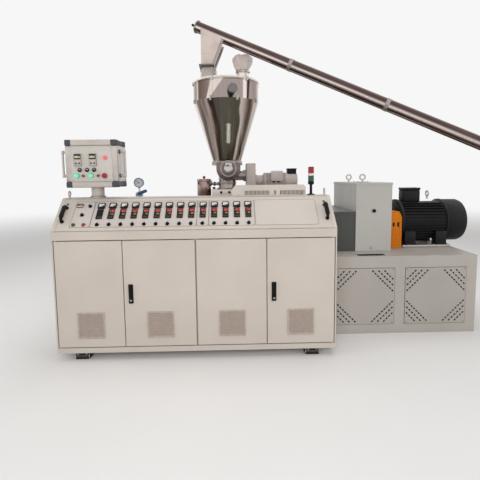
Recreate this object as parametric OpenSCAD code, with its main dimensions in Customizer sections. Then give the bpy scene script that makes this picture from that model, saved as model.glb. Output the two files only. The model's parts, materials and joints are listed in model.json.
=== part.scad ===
// Twin-screw plastic extruder with a control cabinet in front of it, a steel hopper and a screw loader.
// Millimetres, +Z up, the cabinet's doors face -Y, the die end is at -X and the motor end at +X.
// Places are first given from the cabinet's lower left front corner, then shifted to the origin.

/* [Control cabinet] */
// Length of the control cabinet
cab_len = 2200; // [2100:10:2300]
// Depth of the control cabinet
cab_depth = 400; // [380:5:410]
// Height of the roof above the floor
cab_top_z = 1270; // [1250:5:1300]
// Height of the bend where the console slope starts
bend_z = 1030; // [1010:5:1040]
// Depth taken up by the console slope
slope_run = 245; // [235:5:260]
// Sheet thickness
sheet = 3; // [2:0.5:4]
// Height of the feet
foot_h = 60; // [50:5:80]
// Width of a foot
foot_w = 110; // [80:5:140]
// Depth of a foot
foot_d = 90; // [60:5:120]
// Distance of the feet behind the cabinet's front
foot_back = 22; // [10:1:60]
// Distance of the feet from the cabinet's ends
foot_inset = 128; // [60:5:200]
// Height of the plinth over the feet
plinth_h = 42; // [36:1:60]
// Width of the fixed strip at each end of the console slope
cheek_w = 28; // [24:1:40]
// Depth of the fixed strip
cheek_t = 25; // [22:1:35]
// Roof eye, middle of its ring above the roof
roof_eye_z = 34; // [30:1:50]
// Roof lifting eye, size against the gearbox's
roof_eye_size = 0.75; // [0.5:0.05:0.8]
// Roof eye, distance from the cabinet's end
roof_eye_inset = 26; // [22:1:60]

/* [Doors] */
// Thickness of a door leaf
door_t = 20; // [16:1:25]
// Height of the seam above the doors
door_top_z = 958; // [930:2:970]
// Seam between the first and second door
seam_1_x = 536; // [500:2:570]
// Middle post between the second and third door
seam_2_x = 1100; // [1060:2:1140]
// Seam between the third and fourth door
seam_3_x = 1652; // [1620:2:1690]
// Gap where two leaves of a pair meet
leaf_gap = 6; // [5:0.5:9]
// Gap between the two pairs at the middle post
pair_gap = 12; // [11:0.5:16]
// Gap between a leaf and the frame round it
door_gap = 7; // [7:0.5:10]
// Width of the frame that shows beside the outer doors
border_w = 10; // [8:1:16]
// Hinge pin, distance from the leaf's edge
pin_in = 8; // [7:0.5:9]
// Hinge pin, distance behind the leaf's face
pin_back = 6; // [5.5:0.5:7]
// Hinge pin radius
pin_r = 3; // [2.5:0.25:4]
// Hinge pin length past the leaf
pin_len = 16; // [14:1:20]
// Running clearance round a hinge pin
pin_fit = 0.05; // [0.03:0.01:0.08]
// Depth of a door post
post_d = 34; // [25:1:45]
// Width of a door post behind the leaves
post_w = 34; // [28:1:50]
// Space between a leaf and the post behind it
post_gap = 8; // [6:0.5:12]
// Side of a square air filter
filter_side = 205; // [180:5:230]
// Filter, how far it stands out of the leaf
filter_t = 5; // [3:0.5:6]
// Filter, height of its lower edge
filter_z = 180; // [150:5:220]
// Swing handle, width
latch_w = 32; // [26:1:40]
// Swing handle, height
latch_h = 150; // [120:5:180]
// Swing handle, how far it stands out
latch_t = 22; // [16:1:26]
// Swing handle, height of its middle
latch_z = 532; // [480:5:600]
// Swing handle, distance of its middle from the leaf's meeting edge
latch_in = 52; // [40:2:80]

/* [Console] */
// Gap round the console lid
lid_gap = 5; // [5:0.5:7]
// Gap above the console lid
lid_top_gap = 10; // [10:0.5:13]
// Depth of the lid's folded rim
lid_rim = 18; // [14:1:22]
// Hinge pin, distance from the lid's upper edge
lid_pin_in = 9; // [8:0.5:9]
// Instrument panels, thickness
panel_t = 2; // [1.5:0.5:3]
// Instrument panels, lower edge up the slope
panel_low = 34; // [28:1:44]
// Instrument panels, upper edge up the slope
panel_high = 298; // [292:1:304]
// Gap between two instrument panels
panel_gap = 2; // [1:0.5:4]
// Seams of the instrument panels along the cabinet
panel_seams = [129, 284, 1108, 1202, 1566, 2067];
// Number of temperature controllers
controllers = 14; // [10:1:14]
// Middle of the first controller
controller_x = 340; // [330:1:350]
// Distance from one controller to the next
controller_pitch = 90.4; // [88:0.1:92]
// Controller bezel, width
controller_w = 48; // [44:1:52]
// Controller bezel, height
controller_h = 96; // [90:1:98]
// Controller, middle up the slope
controller_t = 163; // [158:1:166]
// Controller, how far the bezel stands out
controller_out = 9; // [6:1:14]
// Controller, depth behind the lid
controller_deep = 75; // [50:5:85]
// Ammeter bezel, width
ammeter_w = 58; // [50:1:62]
// Ammeter bezel, height
ammeter_h = 58; // [50:1:62]
// Ammeter, middle up the slope
ammeter_t = 248; // [246:1:254]
// Ammeter, how far the bezel stands out
ammeter_out = 12; // [8:1:16]
// Selector switches, middle up the slope
knob_t = 58; // [54:1:66]
// Selector switch, plate radius
knob_plate_r = 15; // [12:0.5:17]
// Selector switch, knob radius
knob_r = 10.5; // [8:0.5:12]
// Selector switch, how far the knob stands out
knob_out = 22; // [16:1:28]
// Bow handle, hole distance
bow_len = 140; // [120:5:160]
// Bow handle, middle up the slope
bow_t = 163; // [150:1:175]
// Bow handle, distance from the lid's end
bow_in = 29; // [24:1:33]
// Bow handle, bar radius
bow_r = 11; // [8:0.5:12]
// Bow handle, height of the bar
bow_out = 38; // [30:1:50]
// Lid lock, up the slope
lock_t = 274; // [266:1:284]
// Lid lock radius
lock_r = 8; // [6:0.5:10]
// Main selector of the left panel, along the console
start_x = 203; // [200:1:206]

/* [Cabinet top] */
// Vented box, distance from the cabinet's right end
vent_in = 196; // [180:2:220]
// Vented box, length
vent_len = 616; // [560:2:630]
// Vented box, height
vent_h = 88; // [70:2:110]
// Vented box, depth
vent_d = 118; // [90:2:120]
// Vented box, length of the slope at its left end
vent_slant = 27; // [20:1:60]
// Vented box, height of its left end, as a share
vent_left = 0.58; // [0.4:0.02:0.8]
// Vented box, cut of its right upper corner, as a share
vent_cut = 0.2; // [0.1:0.02:0.3]
// Vented box, distance before the cabinet's back
vent_rear = 19; // [14:1:25]
// Signal tower, distance from the cabinet's right end
tower_in = 140; // [110:1:150]
// Signal tower, total height
tower_h = 238; // [220:2:300]
// Signal tower, lamp radius
lamp_r = 25; // [20:0.5:27]
// Signal tower, height of one lamp
lamp_h = 48; // [40:1:52]
// Signal tower, stem radius
stem_r = 11; // [8:0.5:14]
// Signal tower, band between the lamps
lamp_gap = 20; // [14:1:24]

/* [Operator box] */
// Width of the operator box
op_w = 415; // [380:5:440]
// Depth of the operator box
op_d = 240; // [230:5:290]
// Height of the operator box
op_h = 381; // [360:1:420]
// Height of the box's underside over the cabinet
op_lift = 87; // [75:1:130]
// Left side of the box
op_x = 61; // [58:1:90]
// Front of the box
op_y = 190; // [180:2:200]
// Top and bottom rails, height
rail_h = 48; // [40:1:56]
// Top and bottom rails, how far they stand out
rail_out = 8; // [4:1:12]
// Post under the box, radius
op_post_r = 52; // [48:1:58]
// Swivel spigot radius
spigot_r = 20; // [15:1:25]
// Swivel spigot length in the box
spigot_len = 30; // [20:1:40]
// Side handle, hole distance
grip_len = 192; // [160:4:220]
// Side handle, how far it stands out
grip_out = 52; // [40:1:54]
// Side handle, bar radius
grip_r = 9; // [7:0.5:12]
// Side handle, distance behind the face
grip_back = 60; // [50:2:120]
// Digital meter, width and height
meter_size = [58, 98];
// Digital meters, places across the face
meter_x = [100, 220];
// Digital meters, lower edge over the box's underside
meter_z = 172; // [168:1:176]
// Row of selector switches, height over the box's underside
op_knob_z = 141; // [134:1:146]
// Selector switches, places across the face
op_knob_x = [111, 169, 225];
// Row of push buttons, height over the box's underside
op_button_z = 94; // [86:1:98]
// Push buttons, places across the face
op_button_x = [87, 139, 200, 257];
// Alarm lamp, place on the face
op_lamp = [317, 237];
// Emergency stop, place across the face
op_stop_x = 314; // [310:1:318]
// Push button radius
button_r = 13; // [10:0.5:15]
// Emergency stop radius
stop_r = 21; // [18:0.5:25]

/* [Machine base] */
// Left end of the machine base
base_x = 244; // [220:2:260]
// Width of one side panel
panel_w = 557; // [540:1:570]
// Frame between two side panels
mullion_w = 92; // [80:1:104]
// Number of side panels
panels = 5; // [5:1:5]
// Height of the machine base
base_h = 710; // [690:5:730]
// Half the depth of the machine base
base_half = 630; // [600:5:650]
// Gap between the cabinet's back and the base
cab_to_base = 0; // [0:1:40]
// Side panel, height
base_panel_h = 520; // [480:5:540]
// Side panel, height of its lower edge
base_panel_z = 84; // [70:1:100]
// Side panel thickness
base_panel_t = 3; // [2:0.5:4]
// Slot in the top plate, left end
top_slot_x = 2515; // [2500:5:2540]
// Slot in the top plate, distance behind the front
top_slot_in = 30; // [24:2:60]
// Slot in the top plate, length and width
top_slot = [250, 70];
// Slot in the top plate, depth
top_slot_d = 50; // [30:5:80]

/* [Gearbox and motor] */
// Gearbox, left side
gear_x = 2555; // [2550:1:2570]
// Gearbox, length along the machine
gear_l = 340; // [320:5:350]
// Gearbox, depth
gear_d = 780; // [740:5:800]
// Gearbox, height with its cover plate
gear_h = 647; // [620:1:680]
// Gearbox cover plate, thickness
gear_cover = 18; // [12:1:24]
// Gearbox cover plate, overhang
gear_lip = 5; // [3:1:8]
// Lifting eye, ring radius to the middle of its bar
eye_r = 26; // [20:1:32]
// Lifting eye, bar radius
eye_bar = 8; // [6:0.5:10]
// Lifting eye, middle of its ring over its seat
eye_z = 54; // [48:1:64]
// Distance between the gearbox's lifting eyes
eye_apart = 444; // [420:4:460]
// Gearbox lifting eyes, distance from its left side
eye_in = 136; // [120:2:150]
// Gearbox lifting eyes, middle of the pair behind the barrel's axis
eye_shift = 67; // [56:1:76]
// Motor's lifting eye, distance from its housing's right end
motor_eye_in = 140; // [120:5:160]
// Oil glass on the gearbox's front, radius
glass_hole_r = 13; // [10:1:18]
// Oil glass, distance below the cover
glass_hole_drop = 262; // [240:2:280]
// Drain plug on the gearbox's front, radius
drain_r = 10; // [8:0.5:14]
// Drain plug, height over the base
drain_z = 34; // [30:1:44]
// Distribution box, left side
dist_x = 1930; // [1910:5:1990]
// Distribution box, depth
dist_d = 760; // [700:5:770]
// Distribution box, height
dist_h = 380; // [360:5:400]
// Distribution box, thickness of its cover
dist_cover = 22; // [16:1:28]
// Distribution box, overhang of its cover
dist_lip = 6; // [3:1:10]
// Distribution box, places of its ribs, as shares of its length
dist_ribs = [0.32, 0.66];
// Distribution box, width of a rib
dist_rib_w = 24; // [18:1:30]
// Distribution box, how far a rib stands out
dist_rib_out = 12; // [8:1:16]
// Motor shaft height over its feet
motor_h = 225; // [225:1:225]
// Motor foot thickness
motor_foot = 23; // [20:1:26]
// Motor housing radius
motor_r = 222; // [210:1:224]
// Motor housing, left end
motor_x = 3068; // [3064:1:3080]
// Motor housing, length
motor_l = 500; // [460:5:510]
// Motor, length of its front boss
motor_nose = 18; // [12:1:18]
// Fan cowl, length
cowl_l = 192; // [170:2:200]
// Terminal box, length, depth and height
term_size = [174, 120, 116];
// Terminal box, distance from the housing's left end
term_in = 84; // [70:2:90]
// Motor foot, length and width
motor_foot_size = [110, 84];
// Motor feet, middle off the axis
motor_foot_y = 178; // [170:1:184]
// Motor foot, distance from the housing's ends
motor_foot_in = 40; // [30:1:50]
// Motor rail, width
motor_rail_w = 92; // [80:2:96]
// Motor rail, middle off the axis
motor_rail_y = 196; // [190:1:200]
// Motor rail, distance from the housing's ends
motor_rail_in = 10; // [5:1:20]
// Coupling guard, length
guard_l = 120; // [110:1:130]
// Coupling guard, depth
guard_d = 540; // [480:5:560]
// Coupling guard, height
guard_h = 362; // [340:2:380]
// Coupling guard, cut of its right upper corner
guard_cut = [25, 52];
// Coupling guard, gap to the gearbox
guard_gap = 34; // [20:1:40]

/* [Barrel] */
// Height of the barrel's axis
barrel_z = 1000; // [990:1:1005]
// Die flange, left face
die_x = 100; // [90:1:120]
// Die flange, radius
die_r = 145; // [135:1:150]
// Die flange, thickness
die_t = 50; // [40:1:60]
// Die flange, bolt circle radius
die_bolt_circle = 115; // [112:1:118]
// Die flange, bolt hole radius
die_bolt_r = 9; // [8:0.5:11]
// Number of die bolts
die_bolts = 8; // [6:1:10]
// Melt bore radius
melt_r = 38; // [30:1:45]
// Barrel radius
barrel_r = 118; // [105:1:122]
// Heater band radius
band_r = 152; // [145:1:160]
// Barrel cover, left end
cover_x = 346; // [340:2:360]
// Barrel cover, gap to the feed block
cover_gap = 35; // [20:1:60]
// Barrel cover, half width
cover_half = 205; // [190:5:220]
// Barrel cover, top
cover_z = 1200; // [1190:2:1210]
// Feed block, half length
feed_half = 150; // [140:2:156]
// Feed block, half width
feed_wide = 165; // [150:5:180]
// Feed block, top
feed_z = 1300; // [1290:1:1312]
// Gap between the barrel's rear flange and the distribution box
rear_gap = 7; // [6.5:0.5:10]
// Barrel's rear flange, thickness
rear_flange_t = 70; // [60:5:80]
// Barrel's front collar, thickness
front_collar_t = 24; // [20:1:30]
// Front support, thickness and width
front_leg = [32, 120];
// Support under the feed block, thickness and width
feed_leg = [80, 180];
// Vacuum pot, place along the machine
pot_x = 1105; // [1096:1:1106]
// Vacuum pot radius
pot_r = 71; // [62:1:72]
// Vacuum pot, top
pot_z = 1412; // [1400:2:1440]
// Vacuum pipe from the pot, radius
pipe_r = 13; // [10:1:16]
// Vacuum pipe, height of its axis
pipe_z = 1360; // [1345:1:1375]
// Gauge, place along the machine
gauge_x = 440; // [430:1:470]
// Gauge, height of its middle
gauge_z = 1380; // [1370:1:1400]
// Gauge radius
gauge_r = 50; // [40:1:55]
// Ball valve under the gauge, height of its axis over the cover
valve_z = 62; // [56:1:70]
// Ball valve, radius and length
valve_size = [22, 72];
// Ball valve lever, length, width and thickness
lever_size = [104, 30, 14];
// Ball valve lever, rise
lever_rise = 20; // [10:1:30]

/* [Hopper] */
// Hopper middle, along the machine
hop_x = 1343; // [1338:1:1348]
// Hopper radius
hop_r = 325; // [315:1:330]
// Hopper wall
hop_wall = 3; // [2:0.5:5]
// Height of the seam between cone and cylinder
hop_seam_z = 2165; // [2140:5:2180]
// Height of the cylinder's upper edge
hop_top_z = 2343; // [2335:1:2355]
// Height of the cone's lower flange
hop_low_z = 1566; // [1560:1:1580]
// Radius of the cone's lower end
hop_low_r = 146; // [140:1:150]
// Lower flange radius
hop_flange_r = 156; // [154:1:162]
// Lower flange thickness
hop_flange_t = 20; // [14:1:26]
// Lid thickness
lid_t = 22; // [16:1:28]
// Lid rim, how far it stands out
lid_out = 6; // [3:1:10]
// Inlet collar, place left of the hopper middle
inlet_x = -170; // [-176:1:-162]
// Inlet collar radius
inlet_r = 72; // [66:1:76]
// Inlet collar height
inlet_h = 144; // [138:1:150]
// Vent collar, place right of the hopper middle
outlet_x = 168; // [160:1:176]
// Vent collar radius
outlet_r = 62; // [56:1:66]
// Vent collar height
outlet_h = 122; // [116:1:128]
// Collar wall
collar_wall = 3; // [2:0.5:5]
// Vent bag, height over the collar
bag_h = 150; // [120:2:160]
// Vent bag, half width at its top
bag_r = 100; // [80:2:104]
// Level switch, turn round the hopper from the front
level_turn = 9.7; // [5:0.1:15]
// Level switch, height
level_z = 2235; // [2210:1:2260]
// Level switch, cap radius
level_r = 43; // [38:1:48]
// Sight glass, width and length
glass_size = [36, 196];
// Sight glass, height of its middle
glass_z = 1845; // [1820:5:1870]
// Sight glass, turn round the hopper from the front
glass_turn = 5; // [2:0.5:8]

/* [Feeder] */
// Feeder tube radius
feed_r = 48; // [40:1:54]
// Height of the feeder tube's axis
feeder_z = 1440; // [1436:1:1446]
// Feed trough, inner radius of its round bottom
trough_r = 107; // [100:1:110]
// Feed trough, height of the round bottom's axis
trough_z = 1510; // [1500:1:1516]
// Feed trough, its middle right of the hopper's
trough_in = 14; // [8:1:18]
// Feed trough, end behind the middle
trough_back = 118; // [110:2:130]
// Feed trough, front end before the middle
port_out = 168; // [160:2:180]
// Feed trough, how far its end plate stands out
port_lip = 12; // [8:1:14]
// Feed trough, thickness of its end plate
port_t = 22; // [16:1:28]
// Feed neck radius
neck_r = 88; // [80:1:92]
// Flange of the feed neck, thickness
neck_flange_t = 16; // [12:1:20]
// Collar under the hopper, thickness
collar_t = 18; // [14:1:22]
// Drive case, left side
case_x = 1535; // [1530:1:1545]
// Drive case, width
case_w = 94; // [86:1:100]
// Drive case, depth
case_d = 230; // [200:5:240]
// Drive case, top
case_z = 1562; // [1558:1:1580]
// Drive case, underside
case_low = 1286; // [1260:2:1300]
// Feeder motor, height of its axis
fm_z = 1392; // [1385:1:1400]
// Feeder motor radius
fm_r = 76; // [70:1:80]
// Feeder motor, length from the case
fm_l = 430; // [400:5:440]
// Feeder motor, length of its gear neck
fm_neck = 92; // [80:2:100]
// Terminal box, distance from the case
fm_term_in = 156; // [150:2:162]
// Terminal box, length, depth and height
fm_term = [114, 72, 102];
// Terminal box, how far it stands before the motor
fm_term_out = 48; // [40:2:56]
// Terminal box, its underside below the motor's axis
fm_term_drop = 8; // [0:1:14]
// Brake box, distance from the case
fm_brake_in = 330; // [324:2:336]
// Brake box, length, depth and height
fm_brake = [90, 88, 76];
// Brake box, its underside over the motor's axis
fm_brake_z = 40; // [34:1:44]

/* [Screw loader] */
// Loader tube radius
tube_r = 54; // [50:1:58]
// Tube, turn towards the front
tube_turn = 18.3; // [17:0.1:19.5]
// Tube, slope below level
tube_drop = 26; // [25:0.1:27]
// Tube, length above the inlet
tube_up = 120; // [110:1:130]
// End cap of the tube, thickness
tube_cap_t = 12; // [8:1:18]
// End cap of the tube, how far it stands out
tube_cap_lip = 8; // [5:1:12]
// Bearing of the loader's screw, radius
bearing_r = 30; // [24:1:36]
// Bearing of the loader's screw, length beyond the tube
bearing_l = 46; // [36:1:52]
// Screw's end, radius
shaft_r = 12; // [9:0.5:15]
// Screw's end, length beyond the tube
shaft_l = 70; // [60:1:80]
// Tube, length from the inlet to the flange
tube_down = 2760; // [2600:10:2900]
// Tube flange radius
tube_flange_r = 88; // [84:1:95]
// Tube flange thickness
tube_flange_t = 14; // [10:1:18]
// Tube flange, bolt circle radius
tube_bolt_circle = 72; // [70:1:74]
// Tube flange, bolt hole radius
tube_bolt_r = 5.5; // [4.5:0.5:7]
// Number of tube flange bolts
tube_bolts = 6; // [4:1:8]
// Chute, lower width
chute_low = 104; // [96:2:120]
// Chute, upper width
chute_high = 204; // [190:2:220]
// Chute, depth
chute_d = 210; // [180:5:220]
// Chute, height of the tube's axis over its foot
chute_h = 356; // [330:1:380]
// Chute foot plate, overhang
chute_lip = 22; // [14:1:30]
// Chute foot plate, thickness
chute_plate = 8; // [5:1:12]
// Chute, its left wall left of the inlet's middle
chute_in = 66; // [60:1:72]
// Chute, drop of its top at the right wall
chute_slope = 100; // [70:5:130]

/* [Hidden] */

// Clearance between curved pieces that would touch
near = 0.3;
// Overlap of two shapes that are one solid
join = 1;
round_fn = 72;
small_fn = 32;

slope_angle = atan2(cab_top_z - bend_z, slope_run);
slope_len = norm([cab_top_z - bend_z, slope_run]);
plinth_z = foot_h + plinth_h;
door_low_z = plinth_z + door_gap;
door_high_z = door_top_z - door_gap;
post_y = door_t + post_gap;
post_front = post_y + post_d;
mid_y = cab_depth + cab_to_base + base_half;
base_len = panels * panel_w + (panels + 1) * mullion_w;
base_front = mid_y - base_half;
motor_axis_z = base_h + motor_foot + motor_h;
motor_end = motor_x + motor_l + cowl_l;
overall_len = motor_end;
front_y = -latch_t;
back_y = mid_y + base_half;
origin_x = overall_len / 2;
origin_y = (front_y + back_y) / 2;
lid_len = cab_len - 2 * (cheek_w + lid_gap);
lid_high = slope_len - lid_top_gap;
lid_pin_t = lid_high - lid_pin_in;
lid_pin_n = -lid_rim / 2;
op_z = cab_top_z + op_lift;
op_mid = [op_x + op_w / 2, op_y + op_d / 2];
tower_y = (slope_run + cab_depth) / 2;
chute_z = hop_top_z + lid_t + inlet_h;
chute_left = hop_x + inlet_x - chute_in;
chute_reach = 2 * chute_high;
tube_z = chute_z + chute_h;

module placed() translate([-origin_x, -origin_y, 0]) children();

// Local x along the cabinet, local y up the slope, local z out of it
module on_slope() translate([0, 0, bend_z]) rotate([slope_angle, 0, 0]) children();

// A box from two corners
module block(low, high) translate(low) cube(high - low);

// A bow handle: two feet and a bar, standing on z = 0 along y
module bow(length, out, r) {
    for (side = [-1, 1]) translate([0, side * length / 2, 0]) {
        cylinder(r = r * 1.35, h = r, $fn = small_fn);
        cylinder(r = r, h = out, $fn = small_fn);
        translate([0, 0, out]) sphere(r = r, $fn = small_fn);
    }
    translate([0, -length / 2, out]) rotate([-90, 0, 0]) cylinder(r = r, h = length, $fn = small_fn);
}

// A lifting eye on a collar, its ring upright across y
module eye(ring_z) {
    cylinder(r = eye_bar * 1.6, h = eye_bar, $fn = small_fn);
    cylinder(r = eye_bar, h = ring_z - eye_r, $fn = small_fn);
    translate([0, 0, ring_z]) rotate([90, 0, 0])
        rotate_extrude($fn = small_fn) translate([eye_r, 0]) circle(r = eye_bar, $fn = small_fn);
}

module cabinet_plinth() color("whitesmoke") placed() difference() {
    union() {
        block([0, 0, foot_h], [cab_len, cab_depth, plinth_z]);
        for (x = [foot_inset, cab_len - foot_inset - foot_w])
            for (y = [foot_back, cab_depth - foot_back - foot_d])
                translate([x, y, 0]) cube([foot_w, foot_d, foot_h + join]);
    }
    for (x = pin_places) translate([x, pin_back, plinth_z - pin_len - near])
        cylinder(r = pin_r + pin_fit, h = pin_len + 2, $fn = small_fn);
}

// Hinge pin places along the cabinet: outer edges, and both sides of the middle post
leaf_low = [border_w + door_gap, seam_1_x + leaf_gap / 2, seam_2_x + pair_gap / 2, seam_3_x + leaf_gap / 2];
leaf_high = [seam_1_x - leaf_gap / 2, seam_2_x - pair_gap / 2, seam_3_x - leaf_gap / 2,
             cab_len - border_w - door_gap];
pin_places = [leaf_low[0] + pin_in, leaf_high[1] - pin_in, leaf_low[2] + pin_in, leaf_high[3] - pin_in];

module side_outline() polygon([[0, plinth_z], [cab_depth - sheet, plinth_z], [cab_depth - sheet, cab_top_z - sheet],
                               [slope_run, cab_top_z - sheet], [slope_run, cab_top_z], [0, bend_z]]);

module cabinet_sides() color("whitesmoke") placed() difference() {
    for (right = [0, 1]) translate([right * cab_len, 0, 0]) mirror([right, 0, 0]) {
        rotate([90, 0, 90]) linear_extrude(sheet) side_outline();
        intersection() {
            on_slope() block([0, 0, -cheek_t], [cheek_w, slope_len, 0]);
            rotate([90, 0, 90]) linear_extrude(cheek_w) side_outline();
        }
    }
    on_slope() translate([cheek_w - pin_len - near, lid_pin_t, lid_pin_n]) rotate([0, 90, 0])
        cylinder(r = pin_r + pin_fit, h = cab_len - 2 * (cheek_w - pin_len - near), $fn = small_fn);
}

module cabinet_back() color("whitesmoke") placed()
    block([0, cab_depth - sheet, plinth_z], [cab_len, cab_depth, cab_top_z - sheet]);

module cabinet_roof() color("whitesmoke") placed()
    block([0, slope_run, cab_top_z - sheet], [cab_len, cab_depth, cab_top_z]);

module cabinet_header() color("whitesmoke") placed() difference() {
    union() {
        block([sheet, 0, door_top_z], [cab_len - sheet, sheet, bend_z - 4]);
        block([sheet, 0, door_top_z], [cab_len - sheet, post_front, door_top_z + pin_len + 4]);
    }
    for (x = pin_places) translate([x, pin_back, door_top_z - 2])
        cylinder(r = pin_r + pin_fit, h = pin_len - door_gap + 2 + near, $fn = small_fn);
}

module door_posts() color("whitesmoke") placed() {
    for (right = [0, 1]) translate([right * cab_len, 0, 0]) mirror([right, 0, 0]) {
        block([sheet, 0, plinth_z], [border_w, post_y + join, door_top_z]);
        block([sheet, post_y, plinth_z], [border_w + post_w, post_front, door_top_z]);
    }
    block([seam_2_x - post_w / 2, post_y, plinth_z], [seam_2_x + post_w / 2, post_front, door_top_z]);
}

module leaf(i) {
    hinge_x = pin_places[i];
    block([leaf_low[i], 0, door_low_z], [leaf_high[i], door_t, door_high_z]);
    translate([hinge_x, pin_back, plinth_z - pin_len + door_gap])
        cylinder(r = pin_r, h = door_high_z - plinth_z + 2 * pin_len - 2 * door_gap, $fn = small_fn);
    filter_x = (leaf_low[i] + leaf_high[i] - filter_side) / 2;
    block([filter_x, -filter_t, filter_z], [filter_x + filter_side, join, filter_z + filter_side]);
}

module door_1() color("whitesmoke") placed() leaf(0);
module door_2() color("whitesmoke") placed() leaf(1);
module door_3() color("whitesmoke") placed() leaf(2);
module door_4() color("whitesmoke") placed() leaf(3);

// Swing handle: a round-ended plate with a raised lever
module latch(x) translate([x, 0, latch_z]) rotate([90, 0, 0]) {
    linear_extrude(latch_t * 0.4) square([latch_w, latch_h], center = true);
    linear_extrude(latch_t) difference() {
        square([latch_w * 0.72, latch_h * 0.9], center = true);
        translate([0, -latch_h * 0.34]) circle(r = latch_w * 0.24, $fn = small_fn);
    }
}

module door_latch_2() color("black") placed() latch(leaf_low[1] + latch_in);
module door_latch_4() color("black") placed() latch(leaf_low[3] + latch_in);

module console_lid() color("whitesmoke") placed() on_slope() translate([cheek_w + lid_gap, 0, 0]) {
    difference() {
        block([0, lid_gap, -lid_rim], [lid_len, lid_high, 0]);
        block([sheet, lid_gap + sheet, -lid_rim - 1], [lid_len - sheet, lid_high - lid_pin_in * 2, -sheet]);
    }
    translate([-pin_len, lid_pin_t, lid_pin_n]) rotate([0, 90, 0])
        cylinder(r = pin_r, h = lid_len + 2 * pin_len, $fn = small_fn);
}

module console_panels() color("gainsboro") placed() on_slope()
    for (i = [0 : len(panel_seams) - 2])
        block([panel_seams[i] + panel_gap / 2, panel_low, 0],
              [panel_seams[i + 1] - panel_gap / 2, panel_high, panel_t]);

// A rectangle of an instrument on the slope, standing out of the panel
module bezel(x, t, w, h, out) translate([x - w / 2, t - h / 2, panel_t]) cube([w, h, out]);

// The part of an instrument behind the lid's sheet
module back_part(x, t, w, h, deep) translate([x - w / 2, t - h / 2, -sheet - deep]) cube([w, h, deep]);

module temperature_controllers() color("dimgray") placed() on_slope()
    for (i = [0 : controllers - 1]) {
        bezel(controller_x + i * controller_pitch, controller_t, controller_w, controller_h - 2, controller_out);
        back_part(controller_x + i * controller_pitch, controller_t, controller_w - 4, controller_h - 5,
                  controller_deep);
    }

module ammeters() color("gainsboro") placed() on_slope()
    for (i = [0 : controllers - 1]) {
        bezel(controller_x + i * controller_pitch, ammeter_t, ammeter_w, ammeter_h, ammeter_out);
        back_part(controller_x + i * controller_pitch, ammeter_t, ammeter_w - 8, ammeter_h - 8,
                  controller_deep * 0.6);
    }

// A selector switch: round plate and knob
module selector(plate_r, r, out) {
    cylinder(r = plate_r, h = out * 0.3, $fn = small_fn);
    cylinder(r = r, h = out, $fn = small_fn);
}

module console_switches() color("black") placed() on_slope() translate([0, 0, panel_t]) {
    for (i = [0 : controllers - 1])
        translate([controller_x + i * controller_pitch, knob_t, 0]) selector(knob_plate_r, knob_r, knob_out);
    translate([start_x - 62, ammeter_t - 9, 0]) cube([50, 30, controller_out]);
    translate([start_x + 44, ammeter_t, 0]) selector(knob_plate_r, knob_r, knob_out);
    translate([start_x, controller_t - 6, 0]) selector(knob_plate_r, knob_r, knob_out);
    for (x = [-44, 34]) translate([start_x + x, knob_t, 0]) selector(knob_plate_r, knob_r + 1, knob_out * 0.6);
}

module console_handles() color("black") placed() on_slope()
    for (x = [cheek_w + lid_gap + bow_in, cab_len - cheek_w - lid_gap - bow_in]) {
        translate([x, bow_t, 0]) bow(bow_len, bow_out, bow_r);
        translate([x, lock_t, 0]) cylinder(r = lock_r, h = lock_r, $fn = small_fn);
    }

module vent_box() color("whitesmoke") placed()
    translate([cab_len - vent_in - vent_len, cab_depth - vent_rear - vent_d, cab_top_z])
    translate([0, vent_d, 0]) rotate([90, 0, 0]) linear_extrude(vent_d)
        polygon([[0, 0], [vent_len, 0], [vent_len, vent_h * (1 - vent_cut)],
                 [vent_len - vent_h * vent_cut, vent_h], [vent_slant, vent_h], [0, vent_h * vent_left]]);

lamp_z = [tower_h - 2 * lamp_h - lamp_gap - 8, tower_h - lamp_h - 8];

module signal_post() color("black") placed() translate([cab_len - tower_in, tower_y, cab_top_z]) {
    cylinder(r = lamp_r + 10, h = 8, $fn = round_fn);
    cylinder(r = stem_r, h = lamp_z[0] - 24 + join, $fn = small_fn);
    translate([0, 0, lamp_z[0] - 24]) cylinder(r = lamp_r, h = 24, $fn = round_fn);
    translate([0, 0, lamp_z[0] + lamp_h]) cylinder(r = lamp_r, h = lamp_gap, $fn = round_fn);
    translate([0, 0, lamp_z[1] + lamp_h]) cylinder(r = lamp_r, h = 8, $fn = round_fn);
}

module signal_lamps() color("green") placed() translate([cab_len - tower_in, tower_y, cab_top_z])
    for (z = lamp_z) translate([0, 0, z]) cylinder(r = lamp_r - 1, h = lamp_h, $fn = round_fn);

module operator_post() color("gainsboro") placed() translate([op_mid[0], op_mid[1], cab_top_z]) {
    cylinder(r = op_post_r + 12, h = 10, $fn = round_fn);
    cylinder(r = op_post_r, h = op_z - cab_top_z, $fn = round_fn);
    cylinder(r = spigot_r, h = op_z - cab_top_z + spigot_len, $fn = round_fn);
}

// The housing with its upper and lower rails, over the swivel spigot
module operator_box() color("gainsboro") placed() difference() {
    union() {
        block([op_x, op_y, op_z + rail_h - join], [op_x + op_w, op_y + op_d, op_z + op_h - rail_h + join]);
        for (z = [op_z, op_z + op_h - rail_h])
            block([op_x, op_y - rail_out, z], [op_x + op_w, op_y + op_d + rail_out, z + rail_h]);
    }
    translate([op_mid[0], op_mid[1], op_z - 1])
        cylinder(r = spigot_r + pin_fit, h = spigot_len + 1 + near, $fn = round_fn);
}

// From the lower left corner of the operator box's face
module on_face() translate([op_x, op_y, op_z]) rotate([90, 0, 0]) children();

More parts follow.
